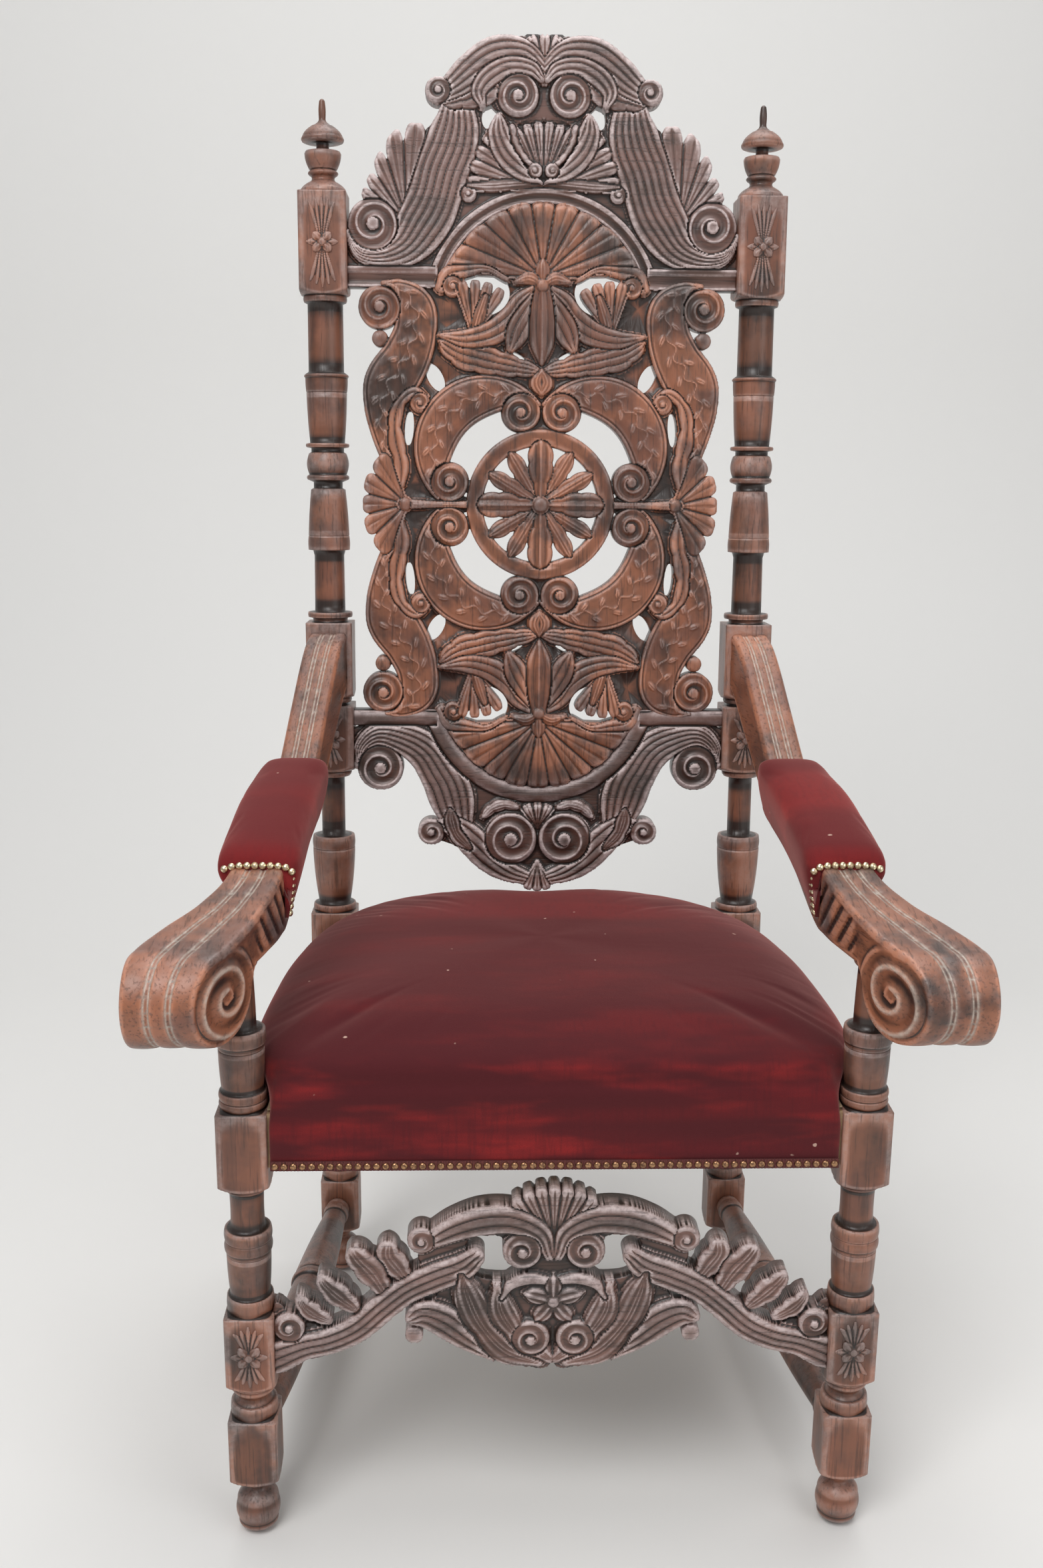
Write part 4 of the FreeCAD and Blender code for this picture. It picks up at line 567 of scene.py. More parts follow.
SIDE_STRETCHER = [(0, 0.62, 0.0), (0.02, 0.66, 0.03), (0.05, 0.66, 0.0), (0.055, 0.60, 0.0),
                  (0.07, 0.62, 0.05), (0.38, 0.97, 0.0), (0.39, 0.90, 0.0), (0.40, 1.0, 0.03),
                  (0.42, 1.0, 0.0), (0.425, 0.88, 0.06), (0.575, 0.88, 0.0), (0.58, 1.0, 0.03),
                  (0.60, 1.0, 0.0), (0.61, 0.90, 0.0), (0.62, 0.97, 0.05), (0.93, 0.62, 0.0),
                  (0.945, 0.60, 0.0), (0.95, 0.66, 0.03), (0.98, 0.66, 0.0), (1, 0.62, 0)]
REAR_STRETCHER = [(0, 0.66, 0.0), (0.44, 0.94, 0.0), (0.45, 1.0, 0.04), (0.55, 1.0, 0.0),
                  (0.56, 0.94, 0.0), (1, 0.66, 0)]


INTO_ARM = 4 * MM
BEND_CLEAR = 2 * MM
FINIAL_STEP, BAR_STEP = 3 * MM, 6 * MM


def front_leg(side):
    """A front leg with the arm support that it runs up into, which ends a little inside the arm."""
    rows = finer(assemble([
        lathe(FOOT, 0, LOWER_BLOCK[0], LEG_HALF),
        squared(*LOWER_BLOCK, LEG_HALF),
        lathe(LOWER_TURNING, LOWER_BLOCK[1], CARVED_BLOCK[0], LEG_HALF),
        squared(*CARVED_BLOCK, LEG_HALF),
        lathe(LEG_TURNING, CARVED_BLOCK[1], SEAT_BLOCK[0], LEG_HALF),
        squared(*SEAT_BLOCK, LEG_HALF),
        lathe(ARM_SUPPORT, SEAT_BLOCK[1], ARM_SEAT + INTO_ARM, LEG_HALF),
    ]))
    return post_rings(rows) + np.array([side * LEG_X, LEG_Y, 0])


def rear_post(side):
    """A rear leg and its post. Above the bend its rings lean back with the rake, and those at the
    bend itself are left out."""
    rows = finer(assemble([
        lathe(FOOT, 0, LOWER_BLOCK[0], LEG_HALF),
        squared(*LOWER_BLOCK, LEG_HALF),
        lathe(REAR_LOWER_TURNING, LOWER_BLOCK[1], REAR_STRETCHER_BLOCK[0], LEG_HALF),
        squared(*REAR_STRETCHER_BLOCK, LEG_HALF),
        lathe(REAR_TURNING, REAR_STRETCHER_BLOCK[1], REAR_SEAT_BLOCK[0], LEG_HALF),
        squared(*REAR_SEAT_BLOCK, POST_HALF),
        lathe(BASE_TURNING, REAR_SEAT_BLOCK[1], RAIL_BLOCK[0], POST_HALF),
        squared(*RAIL_BLOCK, POST_HALF),
        lathe(COLLAR, RAIL_BLOCK[1], ARM_BLOCK[0], POST_HALF),
        squared(*ARM_BLOCK, POST_HALF),
        lathe(POST_TURNING, ARM_BLOCK[1], TOP_BLOCK[0], POST_HALF),
        squared(*TOP_BLOCK, POST_HALF),
    ]))
    rings = post_rings(rows[np.abs(rows[:, 0] - BEND) > BEND_CLEAR])
    across, out, up = rings[..., 0] + side * POST_X, -rings[..., 1], rings[..., 2] - BEND
    raked = on_back(np.stack([across, up, out], -1))
    upright = np.stack([across, POST_Y - out, rings[..., 2]], -1)
    return np.where(up[..., None] > 0, raked, upright)


def finial(side):
    """A finial on the raked post's top."""
    rows = finer(lathe(FINIAL, TOP_BLOCK[1], FINIAL_TOP, POST_HALF), FINIAL_STEP)
    rings = post_rings(assemble([rows]))
    return on_back(np.stack([rings[..., 0] + side * POST_X, rings[..., 2] - BEND,
                             -rings[..., 1]], -1))


def turned_bar(table, start, end, radius):
    """A turned stretcher between two points: rings across the line from one to the other."""
    start, end = Vector(start), Vector(end)
    along = end - start
    rows = finer(lathe(table, 0, along.length, radius), BAR_STEP)
    rings = post_rings(assemble([rows]))
    turn = np.array(along.to_track_quat("Z", "Y").to_matrix())
    return rings @ turn.T + np.array(start)


SIDE_BAR_RADIUS, REAR_BAR_RADIUS = 21 * MM, 15 * MM
SIDE_BAR_Z, REAR_BAR_Z = sum(LOWER_BLOCK) / 2, sum(REAR_STRETCHER_BLOCK) / 2
# The side stretchers end a millimetre clear of the blocks, a little beside the legs' middles
SIDE_BAR_REACH, OFF_MIDDLE = LEG_HALF + 1 * MM, 2 * MM


def turned_piece(name, rings, node):
    """A turned piece of oak that stands for a node, with how far each point stands out stored for its
    rubbed edges, painted highlight and painted shade.
    """
    keep(find_convexity(tube(name, rings, OAK_TURNED)), "oak", node)


for side, word in SIDES:
    turned_piece(f"front_leg_turned_{word}", front_leg(side), f"front_leg_{word}")
    turned_piece(f"rear_post_turned_{word}", rear_post(side), f"rear_post_{word}")
    turned_piece(f"finial_turned_{word}", finial(side), "finials")
    front = (side * (LEG_X - OFF_MIDDLE), LEG_Y + SIDE_BAR_REACH, SIDE_BAR_Z)
    rear = (side * (POST_X + OFF_MIDDLE), POST_Y - SIDE_BAR_REACH, SIDE_BAR_Z)
    turned_piece(f"side_stretcher_turned_{word}",
                 turned_bar(SIDE_STRETCHER, front, rear, SIDE_BAR_RADIUS), f"side_stretcher_{word}")
ends = [(side * (POST_X - LEG_HALF), POST_Y, REAR_BAR_Z) for side, _ in SIDES]
turned_piece("rear_stretcher_turned", turned_bar(REAR_STRETCHER, *ends, REAR_BAR_RADIUS),
             "rear_stretcher")


# Carved boards, in millimetres on the board: x across from its middle, y up


def quarter_round(edge, width):
    """Rises from 0 at an outline to 1 at a width inside it, as a quarter of a circle does."""
    inward = np.clip(edge / width, 0, 1)
    return np.sqrt(1 - (1 - inward) ** 2)


def vine(lateral, along, half, pitch=11.0):
    """A stem that waves along a band as a sine, with a small slanting leaf beside each half wave."""
    phase = along / pitch
    stem = 0.8 * bell(lateral - 0.14 * half * np.sin(math.pi * phase), 0.8)
    side = np.where(np.floor(phase) % 2 == 0, 1, -1)
    ahead = (phase % 1 - 0.5) * pitch
    out = lateral * side - 0.36 * half
    lengthwise, sideways = ahead * 0.75 + out * 0.65, out * 0.75 - ahead * 0.65
    leaf = np.exp(-(((lengthwise / 5.4) ** 2 + (sideways / 2.6) ** 2) ** 2))
    vein = 0.6 * bell(sideways, 0.6)
    return np.maximum(stem, leaf * (1.2 - vein)) * (np.abs(lateral) < 0.82 * half)


def scrolled(edge, lateral, along, half):
    """A rim along each edge, a groove inside it and a full body with a vine in low relief."""
    body = 1.0 + 5.5 * quarter_round(edge, 4.0) + 1.4 * (1 - (lateral / half) ** 2)
    return body - 1.8 * bell(edge - 4.2, 1.0) + 1.4 * vine(lateral, along, half)


def fluted(count, sway=0.0):
    """Rounded flutes side by side along a band, which may sway a little as a sine."""

    def style(edge, lateral, along, half):
        shifted = lateral + sway * np.sin(along / 9)
        phase = (shifted / half + 1) / 2 * count % 1
        ridge = arched(2 * phase - 1)
        return (1.0 + 3.6 * quarter_round(edge, 3.0) + 2.4 * ridge
                + 1.6 * (1 - (lateral / half) ** 2))

    return style


def leafy(ribs):
    """A leaf that rises to a grooved middle, with flutes that run along it and close at its tip."""

    def style(edge, lateral, along, half):
        beside = np.abs(lateral) / half
        flute = np.abs(np.cos(math.pi * beside * ribs / 2))
        return (0.8 + 3.4 * quarter_round(edge, 4.0) + 1.8 * (1 - beside) + 1.3 * flute
                - 1.4 * bell(lateral, 0.9))

    return style


def petal(edge, lateral, along, half):
    """A full petal with a ridge down its middle between two shallow flutes."""
    return (0.8 + 4.4 * quarter_round(edge, 4.5) + bell(lateral, 1.6)
            - 0.9 * bell(np.abs(lateral) - 0.42 * half, 1.6))


def rounded(edge, lateral, along, half):
    """A plain half round."""
    return 1.0 + 6.0 * quarter_round(edge, np.maximum(half, 3.0))


# Beyond every board's edge, and beyond the tips of the widest fan
FAR_OUT = 999.0
WIDEST_FAN = 125.0


class Relief:
    """A carved board as two fields on a grid over its right half, which is mirrored to the left:
    edge is how far a point lies inside the outline, height the carving above the ground. A member
    that comes later lies in front of those before it. While flip is -1 they go on upside down."""

    def __init__(self, half, low, high, step=1.15):
        self.x = np.arange(0, half + step / 2, half / round(half / step))
        self.y = np.linspace(low, high, round((high - low) / step) + 1)
        self.step = self.x[1]
        shape = (len(self.y), len(self.x))
        self.edge, self.height = np.full(shape, -99.0), np.full(shape, -99.0)
        self.flip = 1

    def put(self, centre, reach, member, over=True):
        """Adds a member that fits in a square about a centre. It gets its points' places."""
        up = self.y * self.flip
        rows = np.flatnonzero(np.abs(up - centre[1]) < reach + 4)
        columns = np.flatnonzero(np.abs(self.x - centre[0]) < reach + 4)
        if not len(rows) or not len(columns):
            return
        window = np.ix_(rows, columns)
        x, y = np.meshgrid(self.x[columns], up[rows])
        edge, height = member(x, y)
        old_edge, old_height = self.edge[window], self.height[window]
        near = edge > -2 * self.step
        taller = np.where(near, np.maximum(old_height, height), old_height)
        self.edge[window] = np.maximum(old_edge, edge)
        self.height[window] = np.where((edge > 0) & over, height, taller)

    def band(self, places, style, top=0.0, lobes=0, per=10):
        """A band along a curve. Each place holds x, y and half the width there. Lobes scallop its
        edges by a rectified sine."""
        path = curve(places, per)
        step = np.gradient(path[:, :2], axis=0)
        length = np.hypot(*step.T)
        direction = step / length[:, None]
        run = travelled(path[:, :2])
        half = path[:, 2]
        if lobes:
            half = half * (0.80 + 0.26 * np.abs(np.sin(math.pi * lobes * run / run[-1])))
        low, high = path[:, :2].min(0), path[:, :2].max(0)
        centre, reach = (low + high) / 2, (high - low).max() / 2 + half.max()

        def member(x, y):
            offset = np.stack([x, y], -1)[..., None, :] - path[:, :2]
            distance = np.hypot(offset[..., 0], offset[..., 1])
            nearest = (distance - half).argmin(-1)
            offset = np.take_along_axis(offset, nearest[..., None, None], -2)[..., 0, :]
            ahead = direction[nearest]
            lateral = offset[..., 0] * ahead[..., 1] - offset[..., 1] * ahead[..., 0]
            along = run[nearest] + (offset * ahead).sum(-1)
            width = half[nearest]
            edge = width - np.take_along_axis(distance, nearest[..., None], -1)[..., 0]
            return edge, top + style(edge, lateral, along, width)

        self.put(centre, reach, member)

    def ray(self, centre, turn, places, style, top=0.0, lobes=0):
        """A band straight out from a centre, leaning from upright. Each place holds how far out it
        lies and half the width there."""
        across, up = math.sin(math.radians(turn)), math.cos(math.radians(turn))
        self.band([(centre[0] + out * across, centre[1] + out * up, half) for out, half in places],
                  style, top, lobes)

    def volute(self, centre, radius, turns, start, hand, top):
        """The end of a scroll: a hollow between the rims of a spiral whose radius falls evenly
        with the angle, round a raised eye."""
        pitch = radius * 0.78 / turns

        def member(x, y):
            across, up = x - centre[0], y - centre[1]
            out = np.hypot(across, up)
            angle = np.arctan2(up, across) - math.radians(start)
            phase = ((radius - out) / pitch + hand * angle / TAU) % 1
            hollow = np.sin(math.pi * phase) ** 0.7 * min(3.4, radius * 0.16)
            eye = radius * 0.24
            body = 2.2 + 5.0 * quarter_round(radius - out, 3.0) + 0.6 * (1 - out / radius)
            dome = 7.6 + 1.4 * arched(out / eye)
            return radius - out, top + np.where(out < eye, dome, body - hollow)

        self.put(centre, radius, member)

    def cut(self, centre, across, up, turn):
        """Pierces a leaning oval. Its two sizes are half its width and half its height."""
        x, y = np.meshgrid(self.x - centre[0], self.y * self.flip - centre[1])
        lean = math.radians(turn)
        out = np.hypot((x * math.cos(lean) + y * math.sin(lean)) / across,
                       (y * math.cos(lean) - x * math.sin(lean)) / up)
        self.edge = np.minimum(self.edge, (out - 1) * min(across, up))

    def boss(self, centre, radius, top, rise=3.0):
        """A dome on a short stem."""

        def member(x, y):
            out = np.hypot(x - centre[0], y - centre[1])
            return radius - out, top + rise * arched(out / radius)

        self.put(centre, radius, member)

    def fan(self, centre, reach, spread, lobes, turn=0.0, top=0.0, notch=0.10):
        """Lobes that spread from a centre. Each is full across and rises to its round end; reach
        is a length or a function of the angle from the fan's middle."""

        def member(x, y):
            across, up = x - centre[0], y - centre[1]
            out = np.hypot(across, up)
            angle = np.arctan2(across, up) - math.radians(turn)
            angle = (angle + math.pi) % TAU - math.pi
            limit = math.radians(spread)
            full = reach if np.isscalar(reach) else reach(angle)
            phase = ((angle / limit + 1) / 2 * lobes) % 1 * 2 - 1
            lobe_half = np.maximum(out * limit / lobes, 0.5)
            end = full - notch * full * phase**4
            side = (limit - np.abs(angle)) * out
            edge = np.minimum(end - out, side)
            rise = np.clip(out / full, 0, 1)
            valley = np.clip(lobe_half * (1 - np.abs(phase)) / 2.6, 0, 1)
            full_lobe = arched(phase) * np.clip(lobe_half / 5, 0, 1)
            height = (0.2 + 3.0 * quarter_round(end - out, 5.0) + 1.0 * rise + 2.6 * full_lobe
                      + 1.6 * quarter_round(valley, 1.0) * np.clip(out / 14, 0, 1)
                      - 1.3 * bell(phase, 0.16) * rise)
            return edge, top + height

        self.put(centre, reach if np.isscalar(reach) else WIDEST_FAN, member)

    def ring(self, centre, inner, outer, profile, low=-FAR_OUT, high=FAR_OUT):
        """A round moulding. Its profile gives the height from the share of its width and the
        distance to its nearer edge."""

        def member(x, y):
            out = np.hypot(x - centre[0], y - centre[1])
            edge = np.minimum(np.minimum(out - inner, outer - out), np.minimum(y - low, high - y))
            return edge, profile((out - inner) / (outer - inner), np.minimum(out - inner, outer - out))

        self.put(centre, outer, member)

    def bar(self, left, right, low, high, profile):
        """A straight, level moulding, with a profile like a round one's."""

        def member(x, y):
            edge = np.minimum(np.minimum(x - left, right - x), np.minimum(y - low, high - y))
            return edge, profile((y - low) / (high - low), np.minimum(y - low, high - y))

        centre = ((left + right) / 2, (low + high) / 2)
        self.put(centre, max(right - left, high - low) / 2, member)

    def web(self, outline, top=0.0, over=False):
        """A plain flat member inside a closed outline: its edge is the distance to the nearest
        side, counted as inside where a line to the right crosses the outline an odd number of
        times."""
        loop = curve(outline, 6, closed=True)
        start, end = loop, np.roll(loop, -1, 0)
        low, high = loop.min(0), loop.max(0)

        def member(x, y):
            point = np.stack([x, y], -1)[..., None, :]
            side = end - start
            share = ((point - start) * side).sum(-1) / np.maximum((side**2).sum(-1), 1e-9)
            nearest = start + np.clip(share, 0, 1)[..., None] * side
            distance = np.sqrt(((point - nearest) ** 2).sum(-1)).min(-1)
            px, py = x[..., None], y[..., None]
            spans = (start[:, 1] > py) != (end[:, 1] > py)
            rise = np.where(np.abs(side[:, 1]) < 1e-9, 1e-9, side[:, 1])
            crossing = start[:, 0] + (py - start[:, 1]) * side[:, 0] / rise
            inside = (spans & (px < crossing)).sum(-1) % 2 == 1
            edge = np.where(inside, distance, -distance)
            return edge, top + 1.2 * quarter_round(edge, 2.5)

        self.put((low + high) / 2, (high - low).max() / 2, member, over)

    def solid(self, name, place, back, material, triangles):
        """The closed board. Cells whose corners lie inside the outline are kept, the points along
        their rim slide onto the outline, and walls run back to a flat rear face."""
        edge, height = (np.concatenate([field[:, :0:-1], field], 1)
                        for field in (self.edge, self.height))
        x, y = np.meshgrid(np.concatenate([-self.x[:0:-1], self.x]), self.y)
        rows, columns = edge.shape
        near = edge > -0.55 * self.step
        cells = near[:-1, :-1] & near[1:, :-1] & near[:-1, 1:] & near[1:, 1:]
        touched = np.zeros((rows, columns), int)
        for row, column in ((0, 0), (0, 1), (1, 0), (1, 1)):
            touched[row:rows - 1 + row, column:columns - 1 + column] += cells
        used, rim = touched > 0, (touched > 0) & (touched < 4)
        slope_y, slope_x = np.gradient(np.maximum(edge, -4), self.y, x[0])
        steep = np.maximum(slope_x**2 + slope_y**2, 0.3)
        slide = np.where(rim, -np.clip(edge, -1.3, 1.3) / steep, 0)
        limit = 0.9 * self.step
        x = x + np.clip(slide * slope_x, -limit, limit)
        y = y + np.clip(slide * slope_y, -limit, limit)
        height = np.where(used, height, 0)
        numbers = np.cumsum(used.ravel()).reshape(rows, columns) - 1
        count = used.sum()
        front = np.stack([x[used], y[used], height[used]], -1)
        rear = np.stack([x[used], y[used], np.full(count, -back)], -1)
        row, column = np.nonzero(cells)
        faces = np.stack([numbers[row, column], numbers[row, column + 1],
                          numbers[row + 1, column + 1], numbers[row + 1, column]], -1)
        padded = np.pad(cells, 1)
        quads = [faces, faces[:, ::-1] + count]
        for sideways, ahead, behind in ((1, padded[1:-1, :-1], padded[1:-1, 1:]),
                                        (0, padded[:-1, 1:-1], padded[1:, 1:-1])):
            for gained in (True, False):
                row, column = np.nonzero(ahead & ~behind if gained else behind & ~ahead)
                first = numbers[row, column]
                second = numbers[row + 1, column] if sideways else numbers[row, column + 1]
                if gained != bool(sideways):
                    first, second = second, first
                quads.append(np.stack([first, first + count, second + count, second], -1))
        local = np.vstack([front, rear]) * MM
        made = new_object(name, place(local), np.vstack(quads), material)
        # How far each point stands out, for rubbed wear, dust with painted highlight on ridges and
        # painted shade in hollows
        fall = np.where(used, height, height[used].mean() - 6)
        broad, fine = (fall - blurred(fall, round(reach / self.step)) for reach in (3.5, 1.2))
        convexity = (broad * 0.45 + fine * 0.9)[used]
        paint(made, "convexity", np.concatenate([convexity, np.zeros(count)]))
        total = 2 * len(made.data.polygons)
        if total > triangles:
            apply_modifier(made, "DECIMATE", ratio=triangles / total)
        return made


def blurred(field, reach):
    """The mean over a square about each point, from running sums along both axes, taken twice."""
    for _ in range(2):
        for axis in (0, 1):
            widths = [(reach + 1, reach) if side == axis else (0, 0) for side in (0, 1)]
            sums = np.cumsum(np.pad(field, widths, mode="edge"), axis)
            size = field.shape[axis]
            high = np.take(sums, np.arange(size) + 2 * reach + 1, axis)
            field = (high - np.take(sums, np.arange(size), axis)) / (2 * reach + 1)
    return field


BOARD_HALF = 204.0
BOARD_BACK = 15.0
BACK_LIFT = 7.5 * MM
CREST_UP, LOWER_RAIL_UP, PANEL_UP = 708 * MM, 261 * MM, 484.5 * MM


def back_place(up):
    """Puts a board's points on the raked back, its ground half a board before the posts' middle."""
    return lambda local: on_back(local + np.array([0, up, BACK_LIFT]))


def step_moulding(share, edge):
    """A light bead along the upper edge and a cove below it."""
    return 1.0 + 4.5 * quarter_round(edge, 2.0) - 3.0 * np.sin(math.pi * np.clip(share / 0.7, 0, 1))


def half_round(share, edge):
    """A half round moulding."""
    return 1.0 + 6.5 * arched(2 * share - 1)


def flat_ring(share, edge):
    """A flat band with rounded edges."""
    return 3.0 + 3.2 * quarter_round(edge, 3.0) + 0.3 * np.sin(math.pi * share)


def reach_table(degrees, lengths, turn):
    """A fan's reach read off a few directions from upright, straight between them."""
    return lambda angle: np.interp(np.degrees(angle) + turn, degrees, lengths)


def crest():
    """The crest: leaves that climb from a scroll at each end over a spread of lobes, a cup in the
    middle, and over it two scrolls under a long leaf. Mouldings edge its arch and its foot."""
    carving = Relief(BOARD_HALF, 0, 249)
    carving.web([(0, 94), (50, 88), (84, 66), (106, 34), (120, 12), (202, 12), (203, 50), (194, 78),
                 (178, 88), (164, 104), (148, 126), (136, 144), (118, 160), (104, 172), (106, 186),
                 (92, 206), (78, 222), (56, 236), (30, 243), (0, 244)], 0.4)
    carving.cut((56, 172), 8, 14, 10)
    carving.cut((71, 127), 7, 14, -16)
    carving.fan((142, 66), reach_table((-12, 2, 20, 37, 66), (98, 96, 76, 60, 52), 26), 40, 5,
                turn=26, top=0.2, notch=0.20)
    carving.band([(202, 52, 5), (190, 34, 8), (168, 30, 13), (144, 42, 21), (124, 66, 28),
                  (113, 92, 28), (103, 120, 28), (95, 144, 27), (90, 162, 22), (90, 184, 14)],
                 fluted(7, 0.9), 0.8)
    carving.ring((0, -24), 110, 125, step_moulding, low=0)
    carving.bar(112, 204, 0, 22, step_moulding)
    carving.volute((177, 63), 26.5, 1.7, -80, 1, 1.5)
    carving.volute((78, 94), 9, 1.0, 60, -1, 1.0)
    carving.fan((6, 100), 74, 26, 4, turn=66, top=0.2, notch=0.16)
    carving.band([(4, 106, 4), (30, 104, 6), (56, 102, 6), (78, 102, 3)], leafy(2.0), 1.2)
    carving.band([(3, 112, 8), (20, 119, 13), (37, 134, 15), (46, 152, 12), (47, 167, 5)],
                 fluted(4), 2.2)
    carving.web([(0, 112), (12, 114), (23, 126), (30, 142), (30, 158), (20, 167), (0, 168)], -2.6,
                over=True)
    carving.fan((0, 104), 60, 34, 6, top=-1.4, notch=0.12)
    carving.band([(10, 120, 3), (22, 132, 4.5), (30, 146, 5), (33, 160, 4)], rounded, 1.2, lobes=5)
    carving.volute((9, 117), 8.0, 1.1, 60, -1, 2.8)
    carving.web([(0, 174), (12, 168), (34, 166), (48, 176), (60, 184), (84, 180), (104, 182),
                 (112, 200), (92, 214), (60, 236), (0, 246)], 0.4)
    carving.band([(30, 212, 8), (52, 202, 16), (76, 192, 16), (98, 184, 9)], fluted(3), 0.4, lobes=5)
    carving.fan((0, 200), 47.5, 42, 5, top=1.2, notch=0.16)
    carving.band([(2, 216, 9), (22, 230, 14), (48, 229, 19), (74, 213, 18), (94, 198, 13),
                  (107, 189, 8)], fluted(5, 0.6), 1.8)
    carving.band([(3, 206, 4), (14, 216, 8), (36, 218, 10), (56, 208, 11), (67, 194, 9),
                  (64, 181, 4)], fluted(3), 2.6)
    carving.volute((27, 190), 21.5, 1.7, 100, -1, 3.4)
    carving.volute((109, 194), 13.5, 1.3, 150, 1, 2.8)
    return carving.solid("crest_carved", back_place(CREST_UP), BOARD_BACK, OAK_CREST,
                         triangles=190000)


def lower_rail():
    """The lower rail: the crest's leaves and scrolls hang upside down under an inverted arch."""
    carving = Relief(BOARD_HALF, -207, 0)
    carving.web([(112, -10), (200, -20), (200, -40), (150, -46), (120, -80), (96, -120),
                 (70, -128), (40, -104), (0, -100), (0, -86), (60, -80), (100, -40)])
    carving.web([(0, -108), (22, -104), (60, -116), (84, -118), (108, -128), (112, -146),
                 (80, -160), (40, -186), (0, -192)])
    carving.band([(201, -62, 4), (196, -40, 8), (176, -27, 13), (148, -32, 18), (122, -50, 22),
                  (105, -76, 25), (96, -100, 25), (89, -122, 17)], fluted(6, 0.7), 1.0)
    carving.ring((0, 24), 110, 129, half_round, high=0)
    carving.bar(112, 204, -18, 0, half_round)
    carving.volute((175, -65), 25.5, 1.7, 100, -1, 1.5)
    carving.band([(24, -110, 4), (36, -107, 6), (50, -111, 6), (60, -120, 4)], leafy(2.0), 1.0,
                 lobes=3)
    carving.fan((0, -134), 28, 38, 3, top=0.6)
    carving.band([(108, -128, 6), (92, -132, 13), (74, -148, 17), (54, -168, 17), (32, -184, 12),
                  (8, -192, 7)], fluted(4), 1.6)
    carving.band([(98, -112, 4), (96, -126, 9), (90, -142, 9), (76, -156, 5)], leafy(3.0), 2.6,
                 lobes=2)
    carving.volute((119, -138), 15, 1.3, 60, 1, 2.4)
    carving.volute((30, -146), 29.5, 1.7, 80, -1, 3.0)
    carving.fan((0, -172), 34, 30, 3, turn=180, top=2.4)
    return carving.solid("lower_rail_carved", back_place(LOWER_RAIL_UP), BOARD_BACK, OAK_CREST,
                         triangles=150000)


def crescent_path(centre, outer, inner_about_middle, start, end, count=26):
    """Places along a crescent between a circle and a larger one about the board's middle: at each
    angle the inner radius is the root of a quadratic."""
    places = []
    for angle in np.radians(np.linspace(start, end, count)):
        toward = math.cos(angle), math.sin(angle)
        dot = centre[0] * toward[0] + centre[1] * toward[1]
        beyond = centre[0] ** 2 + centre[1] ** 2 - inner_about_middle**2
        inner = -dot + math.sqrt(max(dot**2 - beyond, 0))
        half = max((outer - inner) / 2, 3)
        middle = outer - half
        places.append((centre[0] + toward[0] * middle, centre[1] + toward[1] * middle, half))
    return places


